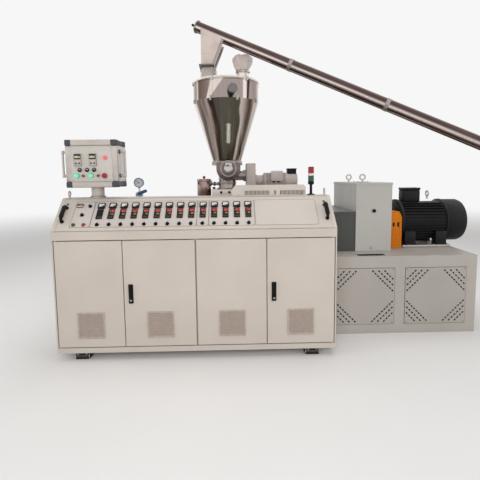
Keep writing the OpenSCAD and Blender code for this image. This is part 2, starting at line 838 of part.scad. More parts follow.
module operator_controls() color("dimgray") placed() on_face() {
    for (x = meter_x) translate([x - meter_size[0] / 2, meter_z, 0]) cube([meter_size[0], meter_size[1], 14]);
    for (x = op_knob_x) translate([x, op_knob_z, 0]) selector(knob_plate_r, knob_r, knob_out);
    for (x = op_button_x) translate([x, op_button_z, 0]) selector(button_r + 3, button_r, knob_out);
    translate(op_lamp) selector(button_r + 3, button_r, knob_out);
    translate([op_stop_x, op_button_z, 0]) {
        cylinder(r = button_r, h = 24, $fn = small_fn);
        translate([0, 0, 20]) cylinder(r = stop_r, h = 16, $fn = small_fn);
    }
}

module operator_handles() color("gainsboro") placed()
    for (side = [-1, 1]) translate([op_mid[0] + side * op_w / 2, op_y + grip_back, op_z + op_h / 2])
        rotate([90, 0, side * 90]) bow(grip_len, grip_out - grip_r, grip_r);

module machine_base() color("gainsboro") placed() difference() {
    block([base_x, base_front + base_panel_t, 0], [base_x + base_len, back_y - base_panel_t, base_h]);
    translate([top_slot_x, base_front + top_slot_in, base_h - top_slot_d])
        cube([top_slot[0], top_slot[1], top_slot_d + 1]);
}

module base_panels() color("whitesmoke") placed()
    for (i = [0 : panels - 1]) translate([base_x + mullion_w + i * (panel_w + mullion_w), 0, base_panel_z])
        for (y = [base_front, back_y - base_panel_t])
            translate([0, y, 0]) cube([panel_w, base_panel_t, base_panel_h]);

// On the cabinet's roof, the gearbox and the motor
module lifting_eyes() color("gainsboro") placed() {
    for (x = [roof_eye_inset, cab_len - roof_eye_inset])
        translate([x, tower_y, cab_top_z]) rotate([0, 0, 90]) scale(roof_eye_size) eye(roof_eye_z / roof_eye_size);
    for (y = [-eye_apart / 2, eye_apart / 2])
        translate([gear_x + eye_in, mid_y + eye_shift + y, base_h + gear_h]) eye(eye_z);
    translate([motor_x + motor_l - motor_eye_in, mid_y, motor_axis_z + motor_r]) rotate([0, 0, 90]) eye(eye_z);
}

module gearbox() color("silver") placed() translate([gear_x, mid_y, base_h]) {
    translate([0, -gear_d / 2, 0]) cube([gear_l, gear_d, gear_h]);
    translate([-gear_lip, -gear_d / 2 - gear_lip, gear_h - gear_cover])
        cube([gear_l + 2 * gear_lip, gear_d + 2 * gear_lip, gear_cover]);
    translate([gear_l / 2, -gear_d / 2, gear_h - glass_hole_drop]) rotate([90, 0, 0])
        cylinder(r = glass_hole_r, h = 12, $fn = small_fn);
    translate([gear_l / 2 - 14, -gear_d / 2, drain_z]) rotate([90, 0, 0])
        cylinder(r = drain_r, h = 14, $fn = 6);
}

module distribution_box() color("silver") placed() translate([dist_x, mid_y, base_h]) {
    translate([0, -dist_d / 2, 0]) cube([gear_x - dist_x, dist_d, dist_h - dist_cover]);
    translate([-dist_lip, -dist_d / 2 - dist_lip, dist_h - dist_cover - join])
        cube([gear_x - dist_x + dist_lip, dist_d + 2 * dist_lip, dist_cover + join]);
    for (x = dist_ribs) translate([x * (gear_x - dist_x), -dist_d / 2 - dist_rib_out, 0])
        cube([dist_rib_w, dist_d + 2 * dist_rib_out, dist_h - dist_cover]);
}

module coupling_guard() color("orange") placed()
    translate([gear_x + gear_l + guard_gap, mid_y + guard_d / 2, base_h]) rotate([90, 0, 0]) linear_extrude(guard_d)
        polygon([[0, 0], [guard_l, 0], [guard_l, guard_h - guard_cut[1]], [guard_l - guard_cut[0], guard_h],
                 [0, guard_h]]);

module main_motor() color("dimgray") placed() translate([motor_x, mid_y, motor_axis_z]) {
    rotate([0, 90, 0]) {
        cylinder(r = motor_r, h = motor_l, $fn = round_fn);
        translate([0, 0, motor_l - join]) cylinder(r = motor_r - 6, h = cowl_l + join, $fn = round_fn);
        translate([0, 0, -motor_nose]) cylinder(r = motor_r * 0.62, h = motor_nose + join, $fn = round_fn);
    }
    for (x = [motor_foot_in, motor_l - motor_foot_in - motor_foot_size[0]]) for (side = [-1, 1])
        translate([x, side * motor_foot_y - motor_foot_size[1] / 2, -motor_h])
            cube([motor_foot_size[0], motor_foot_size[1], motor_h * 0.62]);
    for (side = [-1, 1])
        translate([motor_rail_in, side * motor_rail_y - motor_rail_w / 2, -motor_h - motor_foot])
        cube([motor_l - 2 * motor_rail_in, motor_rail_w, motor_foot + join]);
    translate([term_in, -term_size[1] / 2, motor_r - 30]) cube([term_size[0], term_size[1], term_size[2] + 30]);
}

module die_flange() color("dimgray") placed() translate([die_x, mid_y, barrel_z]) rotate([0, 90, 0])
    difference() {
        cylinder(r = die_r, h = die_t, $fn = round_fn);
        translate([0, 0, -1]) cylinder(r = melt_r, h = die_t + 2, $fn = round_fn);
        for (i = [0 : die_bolts - 1]) rotate([0, 0, (i + 0.5) * 360 / die_bolts])
            translate([die_bolt_circle, 0, -1]) cylinder(r = die_bolt_r, h = die_t + 2, $fn = small_fn);
    }

barrel_x = die_x + die_t;
cover_l = hop_x - feed_half - cover_gap - cover_x;
module barrel() color("silver") placed() {
    translate([barrel_x, mid_y, barrel_z]) rotate([0, 90, 0]) {
        cylinder(r = barrel_r - 20, h = front_collar_t, $fn = round_fn);
        translate([0, 0, front_collar_t - join])
            cylinder(r = band_r, h = cover_x - barrel_x - front_collar_t + join - near, $fn = round_fn);
        translate([0, 0, front_collar_t])
            cylinder(r = barrel_r, h = dist_x - rear_gap - barrel_x - front_collar_t, $fn = round_fn);
    }
    block([hop_x - feed_half, mid_y - feed_wide, barrel_z - feed_wide],
          [hop_x + feed_half, mid_y + feed_wide, feed_z]);
    translate([dist_x - rear_gap - rear_flange_t, mid_y, barrel_z]) rotate([0, 90, 0])
        cylinder(r = band_r + 14, h = rear_flange_t, $fn = round_fn);
    translate([base_x + 30, mid_y - front_leg[1] / 2, base_h])
        cube([front_leg[0], front_leg[1], barrel_z - base_h]);
    translate([hop_x - feed_leg[0] / 2, mid_y - feed_leg[1] / 2, base_h])
        cube([feed_leg[0], feed_leg[1], barrel_z - base_h]);
}

module hood_outline(grow) polygon([[-cover_half + grow, base_h - barrel_z], [-cover_half + grow, cover_z - barrel_z - 60],
    [-cover_half + 60, cover_z - barrel_z - grow], [cover_half - 60, cover_z - barrel_z - grow],
    [cover_half - grow, cover_z - barrel_z - 60], [cover_half - grow, base_h - barrel_z]]);

// A hood of sheet over the barrel, closed at both ends round it
module barrel_cover() color("whitesmoke") placed() translate([cover_x, mid_y, barrel_z]) difference() {
    rotate([90, 0, 90]) linear_extrude(cover_l) hood_outline(0);
    translate([sheet, 0, 0]) rotate([90, 0, 90]) linear_extrude(cover_l - 2 * sheet) difference() {
        hood_outline(sheet);
        translate([-cover_half, base_h - barrel_z - 1]) square([2 * cover_half, 1]);
    }
    translate([-1, 0, 0]) rotate([0, 90, 0]) cylinder(r = barrel_r + near, h = cover_l + 2, $fn = round_fn);
}

module barrel_fittings() color("silver") placed() {
    translate([pot_x, mid_y, cover_z]) {
        cylinder(r = pot_r * 0.7, h = pot_z - cover_z, $fn = small_fn);
        translate([0, 0, 42]) cylinder(r = pot_r, h = pot_z - cover_z - 42, $fn = round_fn);
        translate([0, 0, pot_z - cover_z - join]) cylinder(r = 5, h = 22, $fn = small_fn);
        translate([0, 0, pot_z - cover_z + 24]) sphere(r = 11, $fn = small_fn);
    }
    translate([gauge_x, mid_y, cover_z]) {
        cylinder(r = 26, h = 20, $fn = small_fn);
        cylinder(r = 13, h = gauge_z - cover_z - 20, $fn = small_fn);
        translate([-valve_size[1] / 2, 0, valve_z]) rotate([0, 90, 0])
            cylinder(r = valve_size[0], h = valve_size[1], $fn = small_fn);
        translate([0, -lever_size[1], valve_z]) rotate([0, -lever_rise, 0])
            translate([-lever_size[2], -lever_size[1] / 2, 0]) cube(lever_size);
    }
    translate([pot_x, mid_y, pipe_z]) rotate([0, 90, 0])
        cylinder(r = pipe_r, h = hop_x - neck_r - near - pot_x, $fn = small_fn);
    translate([gauge_x, mid_y + 20, gauge_z]) rotate([90, 0, 0]) cylinder(r = gauge_r, h = 42, $fn = round_fn);
}

// A trough's cross-section: round below, straight up to the hopper's flange
module trough_outline(grow) intersection() {
    union() {
        circle(r = trough_r + grow, $fn = round_fn);
        translate([-trough_r - grow, 0]) square([2 * (trough_r + grow), trough_r]);
    }
    translate([-trough_r - grow, -trough_r - grow])
        square([2 * (trough_r + grow), trough_r + grow + hop_low_z - near - trough_z]);
}

module feeder_housing() color("silver") placed() {
    translate([hop_x + trough_in, mid_y, trough_z]) rotate([90, 0, 0]) {
        translate([0, 0, -trough_back]) linear_extrude(trough_back + port_out) trough_outline(0);
        translate([0, 0, port_out - port_t]) linear_extrude(port_t) trough_outline(port_lip);
    }
    translate([hop_x, mid_y, feeder_z]) rotate([0, 90, 0]) {
        cylinder(r = feed_r, h = case_x - hop_x, $fn = round_fn);
        translate([0, 0, case_x - hop_x - port_t])
            cylinder(r = feed_r + port_lip, h = port_t, $fn = round_fn);
    }
    translate([hop_x, mid_y, feed_z]) {
        cylinder(r = neck_r, h = trough_z - feed_z, $fn = round_fn);
        cylinder(r = neck_r + neck_flange_t, h = neck_flange_t, $fn = round_fn);
    }
    translate([hop_x, mid_y, hop_low_z - collar_t]) cylinder(r = hop_flange_r, h = collar_t, $fn = round_fn);
}

module feeder_drive() color("silver") placed() {
    block([case_x, mid_y - case_d / 2, case_low], [case_x + case_w, mid_y + case_d / 2, case_z]);
    translate([case_x + case_w - join, mid_y, fm_z]) rotate([0, 90, 0]) {
        cylinder(r = fm_r * 0.75, h = fm_neck + join, $fn = round_fn);
        translate([0, 0, fm_neck]) cylinder(r = fm_r, h = fm_l - fm_neck, $fn = round_fn);
    }
    translate([case_x + case_w + fm_term_in, mid_y - fm_r - fm_term_out, fm_z - fm_term_drop]) cube(fm_term);
    translate([case_x + case_w + fm_brake_in, mid_y - fm_brake[1] / 2, fm_z + fm_brake_z]) cube(fm_brake);
}

// Cone and cylinder as one turned shell, with the lower flange
module hopper_shell() color("silver") placed() translate([hop_x, mid_y, 0]) rotate_extrude($fn = 96)
    polygon([[hop_low_r - hop_wall, hop_low_z], [hop_flange_r, hop_low_z], [hop_flange_r, hop_low_z + hop_flange_t],
             [hop_low_r, hop_low_z + hop_flange_t], [hop_r, hop_seam_z], [hop_r, hop_top_z],
             [hop_r - hop_wall, hop_top_z], [hop_r - hop_wall, hop_seam_z],
             [hop_low_r - hop_wall, hop_low_z + hop_flange_t]]);

module hopper_lid() color("silver") placed() translate([hop_x, mid_y, hop_top_z]) difference() {
    cylinder(r = hop_r + lid_out, h = lid_t, $fn = 96);
    translate([inlet_x, 0, -1]) cylinder(r = inlet_r - collar_wall, h = lid_t + 2, $fn = round_fn);
    translate([outlet_x, 0, -1]) cylinder(r = outlet_r - collar_wall, h = lid_t + 2, $fn = round_fn);
}

module collar(x, r, h) translate([hop_x + x, mid_y, hop_top_z + lid_t]) difference() {
    cylinder(r = r, h = h, $fn = round_fn);
    translate([0, 0, -1]) cylinder(r = r - collar_wall, h = h + 2, $fn = round_fn);
}

module hopper_collars() color("silver") placed() {
    collar(inlet_x, inlet_r, inlet_h);
    collar(outlet_x, outlet_r, outlet_h);
}

cone_lean = atan2(hop_r - hop_low_r, hop_seam_z - hop_low_z - hop_flange_t);
glass_r = hop_low_r + (glass_z - hop_low_z - hop_flange_t) * tan(cone_lean);
module hopper_fittings() color("gray") placed() translate([hop_x, mid_y, 0]) {
    rotate([0, 0, level_turn]) translate([0, -hop_r - near, level_z]) rotate([90, 0, 0]) {
        cylinder(r = level_r * 0.6, h = 34, $fn = small_fn);
        translate([0, 0, 26]) cylinder(r = level_r, h = 52, $fn = round_fn);
    }
    rotate([0, 0, glass_turn]) translate([0, -glass_r - near, glass_z]) rotate([90 + cone_lean, 0, 0]) {
        linear_extrude(9) square([glass_size[0], glass_size[1]], center = true);
    }
}

// A limp filter bag gathered on the vent collar
module vent_bag() color("gainsboro") placed()
    translate([hop_x + outlet_x, mid_y, hop_top_z + lid_t + outlet_h]) rotate_extrude($fn = small_fn)
        polygon([[0, 0], [outlet_r - 1, 0], [outlet_r - 1, 20], [bag_r * 0.8, bag_h * 0.5], [bag_r, bag_h * 0.86],
                 [bag_r * 0.7, bag_h], [0, bag_h]]);

// Local z down the tube from the point over the inlet
module on_tube() translate([hop_x + inlet_x, mid_y, tube_z]) rotate([0, 0, -tube_turn])
    rotate([0, 90 + tube_drop, 0]) children();

module loader_tube() color("silver") placed() on_tube() {
    translate([0, 0, -tube_up]) cylinder(r = tube_r, h = tube_up + tube_down, $fn = round_fn);
    difference() {
        translate([0, 0, tube_down - tube_flange_t]) cylinder(r = tube_flange_r, h = tube_flange_t, $fn = round_fn);
        for (i = [0 : tube_bolts - 1]) rotate([0, 0, i * 360 / tube_bolts])
            translate([tube_bolt_circle, 0, tube_down - tube_flange_t - 1])
                cylinder(r = tube_bolt_r, h = tube_flange_t + 2, $fn = small_fn);
    }
    translate([0, 0, -tube_up - tube_cap_t])
        cylinder(r = tube_r + tube_cap_lip, h = tube_cap_t + join, $fn = round_fn);
    translate([0, 0, -tube_up - bearing_l]) cylinder(r = bearing_r, h = bearing_l, $fn = small_fn);
    translate([0, 0, -tube_up - shaft_l]) cylinder(r = shaft_r, h = shaft_l, $fn = small_fn);
}

module loader_chute() color("silver") placed() {
    difference() {
        translate([0, mid_y + chute_d / 2, 0]) rotate([90, 0, 0]) linear_extrude(chute_d)
            polygon([[chute_left, chute_z + chute_plate - join], [chute_left + chute_low, chute_z + chute_plate - join],
                     [chute_left + chute_high, tube_z - chute_slope], [chute_left, tube_z]]);
        on_tube() translate([0, 0, -tube_up]) cylinder(r = tube_r + near, h = tube_down, $fn = round_fn);
        hull() {
            on_tube() translate([0, 0, -tube_up]) cylinder(r = join, h = chute_reach, $fn = small_fn);
            translate([0, 0, chute_h]) on_tube() translate([0, 0, -tube_up])
                cylinder(r = tube_r, h = chute_reach, $fn = small_fn);
        }
    }
    block([chute_left - chute_lip, mid_y - chute_d / 2 - chute_lip, chute_z],
          [chute_left + chute_low + chute_lip, mid_y + chute_d / 2 + chute_lip, chute_z + chute_plate]);
}

cabinet_plinth();
cabinet_sides();
cabinet_back();
cabinet_roof();
cabinet_header();
door_posts();
door_1();
door_2();
door_3();
door_4();
door_latch_2();
door_latch_4();
console_lid();
console_panels();
temperature_controllers();
ammeters();
console_switches();
console_handles();
vent_box();
signal_post();
signal_lamps();
operator_post();
operator_box();
operator_controls();
operator_handles();
machine_base();
base_panels();
lifting_eyes();
gearbox();
distribution_box();
coupling_guard();
main_motor();
die_flange();
barrel();
barrel_cover();
barrel_fittings();
feeder_housing();
feeder_drive();
hopper_shell();
hopper_lid();
hopper_collars();
hopper_fittings();
vent_bag();
loader_tube();
loader_chute();
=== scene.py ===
# Finishes and fine detail of a twin-screw plastic extruder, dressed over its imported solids.
# Metres, +Z up. Places are given from the cabinet's lower left front corner, as in the part's source.
import json
import math
import random
from contextlib import contextmanager
from itertools import product

import bmesh
import bpy
from mathutils import Matrix, Vector, noise


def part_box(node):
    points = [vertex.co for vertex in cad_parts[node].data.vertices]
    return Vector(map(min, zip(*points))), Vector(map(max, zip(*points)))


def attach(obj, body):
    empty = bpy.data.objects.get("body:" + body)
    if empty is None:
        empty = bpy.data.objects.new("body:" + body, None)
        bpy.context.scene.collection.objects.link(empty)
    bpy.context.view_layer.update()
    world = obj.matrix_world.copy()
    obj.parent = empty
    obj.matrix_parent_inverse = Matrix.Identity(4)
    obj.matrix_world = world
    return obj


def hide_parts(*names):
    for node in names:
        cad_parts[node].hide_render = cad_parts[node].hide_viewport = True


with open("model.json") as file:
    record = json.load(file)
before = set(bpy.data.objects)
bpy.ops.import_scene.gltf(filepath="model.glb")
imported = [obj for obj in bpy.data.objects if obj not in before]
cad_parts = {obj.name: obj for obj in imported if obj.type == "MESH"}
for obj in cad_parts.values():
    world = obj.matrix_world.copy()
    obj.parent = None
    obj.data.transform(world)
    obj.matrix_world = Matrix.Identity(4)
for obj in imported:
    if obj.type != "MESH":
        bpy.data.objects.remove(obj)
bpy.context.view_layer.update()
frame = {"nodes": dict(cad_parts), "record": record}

CORNER = Vector(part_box("cabinet_plinth")[0])

# Cabinet and console
CAB_LEN, CAB_TOP, BEND_Z, SLOPE_RUN = 2.200, 1.270, 1.030, 0.245
FEET_X, FEET_Y = (0.183, 2.017), (0.067, 0.333)
SLOPE_ANGLE = math.atan2(CAB_TOP - BEND_Z, SLOPE_RUN)
LEAVES = ((0.017, 0.533), (0.539, 1.094), (1.106, 1.649), (1.655, 2.183))
LEAF_LOW, LEAF_HIGH, LEAF_T = 0.109, 0.951, 0.020
FILTER, FILTER_LOW, FILTER_OUT = 0.205, 0.180, 0.005
LATCH_W, LATCH_H, LATCH_Z, LATCH_IN = 0.032, 0.150, 0.532, 0.052
PANEL_SEAMS = (0.129, 0.284, 1.108, 1.202, 1.566, 2.067)
PANEL_LOW, PANEL_HIGH, PANEL_T = 0.034, 0.298, 0.002
ZONES, ZONE_X, ZONE_PITCH = 14, 0.340, 0.0904
CONTROLLER_T, CONTROLLER_W, CONTROLLER_H, CONTROLLER_OUT = 0.163, 0.048, 0.094, 0.009
AMMETER_T, AMMETER_W, AMMETER_OUT = 0.248, 0.058, 0.012
KNOB_T, KNOB_OUT, START_X = 0.058, 0.022, 0.203
BOW_T, BOW_LEN, BOW_OUT, BOW_R, BOW_X = 0.163, 0.140, 0.038, 0.011, (0.062, 2.138)
LOCK_T = 0.274
CHEEK, LID_GAP, LID_HIGH = 0.028, 0.005, 0.333

# Cabinet top
VENT_X, VENT_Y, VENT_LEN, VENT_H, VENT_D, VENT_SLANT = 1.388, 0.263, 0.616, 0.088, 0.118, 0.027
VENT_GROUPS = ((0.104, 0.317), (0.349, 0.371), (0.399, 0.608))
TOWER_X, TOP_Y, LAMP_R, LAMP_H = 2.060, 0.3225, 0.025, 0.048
LAMP_LOW = (0.114, 0.182)

# Operator box
OP_X, OP_Y, OP_Z, OP_W, OP_D, OP_H = 0.061, 0.190, 1.357, 0.415, 0.240, 0.381
RAIL_H, RAIL_OUT = 0.048, 0.008
GRIP_LEN, GRIP_OUT, GRIP_R, GRIP_BACK = 0.192, 0.052, 0.009, 0.060

# Machine base and drive
MID_Y, BASE_X, BASE_FRONT, BASE_BACK, BASE_H = 1.030, 0.244, 0.400, 1.660, 0.710
PANEL_IN, PANEL_W, PANEL_H, PANEL_Z, PANEL_PITCH, PANELS = 0.092, 0.557, 0.520, 0.084, 0.649, 5
GEAR_X, GEAR_L, GEAR_D, GEAR_TOP = 2.555, 0.340, 0.780, 1.357
GUARD_X, GUARD_L, GUARD_D, GUARD_H, GUARD_CUT = 2.929, 0.120, 0.540, 0.362, (0.025, 0.052)
TOP_SLOT = (2.515, 0.430, 0.250, 0.070)
MOTOR_X, MOTOR_L, MOTOR_R, MOTOR_Z, COWL_L = 3.068, 0.500, 0.222, 0.958, 0.192

# Barrel, feeder, hopper and loader
BARREL_Z, DIE_X, COVER_X, COVER_L, COVER_HALF, COVER_TOP = 1.000, 0.100, 0.346, 0.812, 0.205, 1.200
POT_X, POT_R, POT_TOP, PIPE_R, PIPE_Z = 1.105, 0.071, 1.412, 0.013, 1.360
GAUGE_X, GAUGE_Z, GAUGE_R, VALVE_Z = 0.440, 1.380, 0.050, 0.062
HOP_X, HOP_R, HOP_WALL, HOP_LOW_R, HOP_FLANGE_R = 1.343, 0.325, 0.003, 0.146, 0.156
HOP_LOW, HOP_FLANGE_T, HOP_SEAM, HOP_TOP, LID_T, LID_OUT = 1.566, 0.020, 2.165, 2.343, 0.022, 0.006
INLET_X, INLET_R, INLET_H, OUTLET_X, OUTLET_R, OUTLET_H = -0.170, 0.072, 0.144, 0.168, 0.062, 0.122
FEEDER_Z, FEED_R, FEED_TOP, NECK_R, COLLAR_T = 1.440, 0.048, 1.300, 0.088, 0.018
TROUGH_X, TROUGH_Z, TROUGH_R, TROUGH_BACK = 1.357, 1.510, 0.107, 0.118
PORT_OUT, PORT_LIP, PORT_T = 0.168, 0.012, 0.022
FEED_BLOCK, FEED_HALF, FEED_WIDE = 1.343, 0.150, 0.165
CASE_X, CASE_W, CASE_D, CASE_LOW, CASE_TOP = 1.535, 0.094, 0.230, 1.286, 1.562
FEED_MOTOR_Z, FEED_MOTOR_R, FEED_MOTOR_L = 1.392, 0.076, 0.430
TUBE_R, TUBE_UP, TUBE_DOWN, TUBE_FLANGE_R, TUBE_FLANGE_T = 0.054, 0.120, 2.760, 0.088, 0.014
TUBE_TURN, TUBE_DROP, TUBE_Z = 18.3, 26.0, 2.865
CHUTE_X, CHUTE_Z, CHUTE_LOW, CHUTE_HIGH, CHUTE_D, CHUTE_LIP = 1.107, 2.509, 0.104, 0.204, 0.210, 0.022
CHUTE_PLATE = 0.008


def spin(degrees, axis):
    """A turn about x, y or z."""
    return Matrix.Rotation(math.radians(degrees), 4, axis)


def shift(x=0.0, y=0.0, z=0.0):
    """A step along x, y and z."""
    return Matrix.Translation((x, y, z))


def place(x=0.0, y=0.0, z=0.0):
    """A frame at a point that is given from the cabinet's corner."""
    return Matrix.Translation(CORNER + Vector((x, y, z)))


# Local frames: x to the right, y up and z towards the viewer on every front
FRONT, BACK, RIGHT, LEFT = (spin(turn, "Z") @ spin(90, "X") for turn in (0, 180, 90, -90))
SLOPE = place(0, 0, BEND_Z) @ Matrix.Rotation(SLOPE_ANGLE, 4, "X")
OP_FACE = place(OP_X, OP_Y, OP_Z) @ FRONT
HOPPER = place(HOP_X, MID_Y)
TUBE = place(HOP_X + INLET_X, MID_Y, TUBE_Z) @ spin(-TUBE_TURN, "Z") @ spin(90 + TUBE_DROP, "Y")


# Outlines: each is a function of how far it is drawn in
def rect(width, height, corner=0.0, x=0.0, y=0.0, steps=4):
    """A rectangle about x and y, with its corners rounded."""
    def outline(inset=0.0):
        radius = max(corner - inset, 0.00002)
        reach = (width / 2 - inset - radius, height / 2 - inset - radius)
        points = []
        for turn, (side, rise) in enumerate(((1, 1), (-1, 1), (-1, -1), (1, -1))):
            for step in range(steps + 1) if corner else (steps / 2,):
                angle = math.pi / 2 * (turn + step / steps)
                grow = radius if corner else 0.0
                points.append((x + side * reach[0] + grow * math.cos(angle),
                               y + rise * reach[1] + grow * math.sin(angle)))
        return points
    return outline


def disc(radius, sides=32, x=0.0, y=0.0, start=0.0):
    """A circle about x and y, or a polygon of few sides that starts at an angle."""
    def outline(inset=0.0):
        turns = (start + math.tau * i / sides for i in range(sides))
        return [(x + (radius - inset) * math.cos(a), y + (radius - inset) * math.sin(a)) for a in turns]
    return outline


def shape(*points):
    """A polygon that runs anticlockwise."""
    def outline(inset=0.0):
        drawn = []
        for before, here, after in zip(points[-1:] + points[:-1], points, points[1:] + points[:1]):
            arriving = (Vector(here) - Vector(before)).normalized()
            leaving = (Vector(after) - Vector(here)).normalized()
            inward = Vector((-arriving.y - leaving.y, arriving.x + leaving.x))
            drawn.append(tuple(Vector(here) + inward * inset / (1 + arriving.dot(leaving))))
        return drawn
    return outline


def flipped(outline):
    """The mirror image of an outline, which still runs anticlockwise."""
    def mirror(inset=0.0):
        return [(-x, y) for x, y in reversed(outline(inset))]
    return mirror


def around(radius, count, first=0.0):
    """Places in even steps on a circle, the first one a share of a step on."""
    angles = [math.tau * (k + first) / count for k in range(count)]
    return [(radius * math.cos(a), radius * math.sin(a)) for a in angles]


def corners(x, y):
    """The corners of a rectangle about the origin."""
    return [(side * x, rise * y) for side, rise in product((-1, 1), (-1, 1))]


def rounded_path(points, radius, steps=6):
    """A path of straight stretches with its corners rounded."""
    points = [Vector(p) for p in points]
    path = [points[0]]
    for before, here, after in zip(points, points[1:], points[2:]):
        start = here + (before - here).normalized() * radius
        end = here + (after - here).normalized() * radius
        for step in range(steps + 1):
            t = step / steps
            path.append(start * (1 - t) ** 2 + here * 2 * t * (1 - t) + end * t ** 2)
    return path + [points[-1]]


class Piece:
    """One named object of the scene, put together from skins of points in local frames."""

    def __init__(self, name, body="machine"):
        self.name, self.body = name, body
        self.looks = []
        self.mesh = bmesh.new()
        self.lie = Matrix()

    def at(self, lie):
        """Works in another frame from here on."""
        self.lie = lie
        return self

    @contextmanager
    def moved(self, *steps):
        """Works in a frame some steps on from the present one, then comes back."""
        lie = self.lie
        for step in steps:
            self.lie = self.lie @ step
        yield
        self.lie = lie

    def corner(self, point):
        """A new point, given in the present frame."""
        return self.mesh.verts.new(self.lie @ Vector(point))

    def paint(self, faces, look):
        """Gives faces their look; the sharp edges between them are set when the piece is done."""
        if look not in self.looks:
            self.looks.append(look)
        for face in faces:
            face.material_index = self.looks.index(look)
            face.smooth = True

    def skin(self, rings, look, ends=True, loop=False):
        """Faces between rings of points that follow each other, with flat ends, or joined into a loop."""
        rows = [[self.corner(point) for point in ring] for ring in rings]
        faces = []
        for low, high in zip(rows, rows[1:] + (rows[:1] if loop else [])):
            for i in range(len(low)):
                faces.append(self.mesh.faces.new((low[i - 1], low[i], high[i], high[i - 1])))
        if ends and not loop:
            faces += [self.mesh.faces.new(rows[0][::-1]), self.mesh.faces.new(rows[-1])]
        self.paint(faces, look)

    def lofted(self, outline, section, look, loop=False):
        """A skin of an outline drawn in and lifted along a section of insets and heights."""
        rings = [[(x, y, z) for x, y in outline(inset)] for inset, z in section]
        self.skin(rings, look, loop=loop)

    def slab(self, outline, low, high, look, edge=0.0, under=0.0, steps=2):
        """A flat solid between two heights, with its rims rounded."""
        section = [(under * (1 - math.sin(a)), low + under * (1 - math.cos(a)))
                   for a in quarter(under, steps)]
        section += [(edge * (1 - math.cos(a)), high - edge * (1 - math.sin(a)))
                    for a in quarter(edge, steps)]
        self.lofted(outline, section, look)

    def block(self, low, high, look, edge=0.0):
        """A box between two corners."""
        middle = [(a + b) / 2 for a, b in zip(low, high)]
        size = [b - a for a, b in zip(low, high)]
        self.slab(rect(size[0], size[1], edge, middle[0], middle[1], 2), low[2], high[2], look, edge, edge)

    def border(self, outline, width, low, high, look, edge=0.001):
        """A frame that follows an outline, its upper rims cut back."""
        section = ((0, low), (0, high - edge), (edge, high),
                   (width - edge, high), (width, high - edge), (width, low))
        self.lofted(outline, section, look, loop=True)

    def turned(self, profile, look, sides=40, loop=False):
        """A body of revolution about z from points of radius and height."""
        turns = [math.tau * i / sides for i in range(sides)]
        rings = [[(r * math.cos(a), r * math.sin(a), z) for a in turns] for r, z in profile]
        self.skin(rings, look, loop=loop)

    def rod(self, path, radius, look, sides=12, loop=False):
        """A round bar along a path."""
        path = [Vector(p) for p in path]
        turns = [math.tau * k / sides for k in range(sides)]
        rings, across = [], None
        for i, here in enumerate(path):
            after = path[(i + 1) % len(path)] if loop or i + 1 < len(path) else here
            before = path[i - 1] if loop or i else here
            along = (after - before).normalized()
            sideways = across - along * across.dot(along) if across else along.orthogonal()
            across = sideways.normalized()
            other = along.cross(across)
            rings.append([here + (across * math.cos(a) + other * math.sin(a)) * radius for a in turns])
        self.skin(rings, look, loop=loop)

    def pierced(self, outer, holes, low, high, look):
        """A sheet between two heights with holes through it."""
        loops = [outer] + list(holes)
        sides = []
        for z, facing_up in ((low, -1), (high, 1)):
            rows = [[self.corner((x, y, z)) for x, y in loop] for loop in loops]
            edges = [self.mesh.edges.new((row[i - 1], row[i])) for row in rows for i in range(len(row))]
            up = (self.lie.to_3x3() @ Vector((0, 0, facing_up))).normalized()
            made = bmesh.ops.triangle_fill(self.mesh, use_beauty=True, edges=edges, normal=up)
            faces = [item for item in made["geom"] if isinstance(item, bmesh.types.BMFace)]
            self.paint(faces, look)
            sides.append(rows)
        for below, above in zip(*sides):
            walls = [self.mesh.faces.new((below[i - 1], below[i], above[i], above[i - 1]))
                     for i in range(len(below))]
            self.paint(walls, look)

    def done(self, slot=None, stands_for=(), sharp=35):
        """Turns the mesh into an object that rides on its body."""
        bmesh.ops.recalc_face_normals(self.mesh, faces=self.mesh.faces)
        data = bpy.data.meshes.new(self.name)
        self.mesh.to_mesh(data)
        self.mesh.free()
        data.set_sharp_from_angle(angle=math.radians(sharp))
        for look in self.looks:
            data.materials.append(look)
        made = bpy.data.objects.new(self.name, data)
        bpy.context.scene.collection.objects.link(made)
        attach(made, self.body)
        if stands_for:
            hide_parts(*stands_for)
        return made


def quarter(radius, steps):
    """Angles over a quarter turn, or a single one for a sharp rim."""
    return [math.pi / 2 * i / steps for i in range(steps + 1)] if radius else [math.pi / 2]


# Materials
def srgb(red, green, blue):
    """A colour as a screen shows it, from 0 to 255, in linear values."""
    def linear(c):
        return ((c / 255 + 0.055) / 1.055) ** 2.4 if c > 10 else c / 255 / 12.92
    return (linear(red), linear(green), linear(blue), 1.0)


def shade(colour, factor):
    """A lighter or darker tone of a colour."""
    return tuple(min(c * factor, 1.0) for c in colour[:3]) + (1.0,)


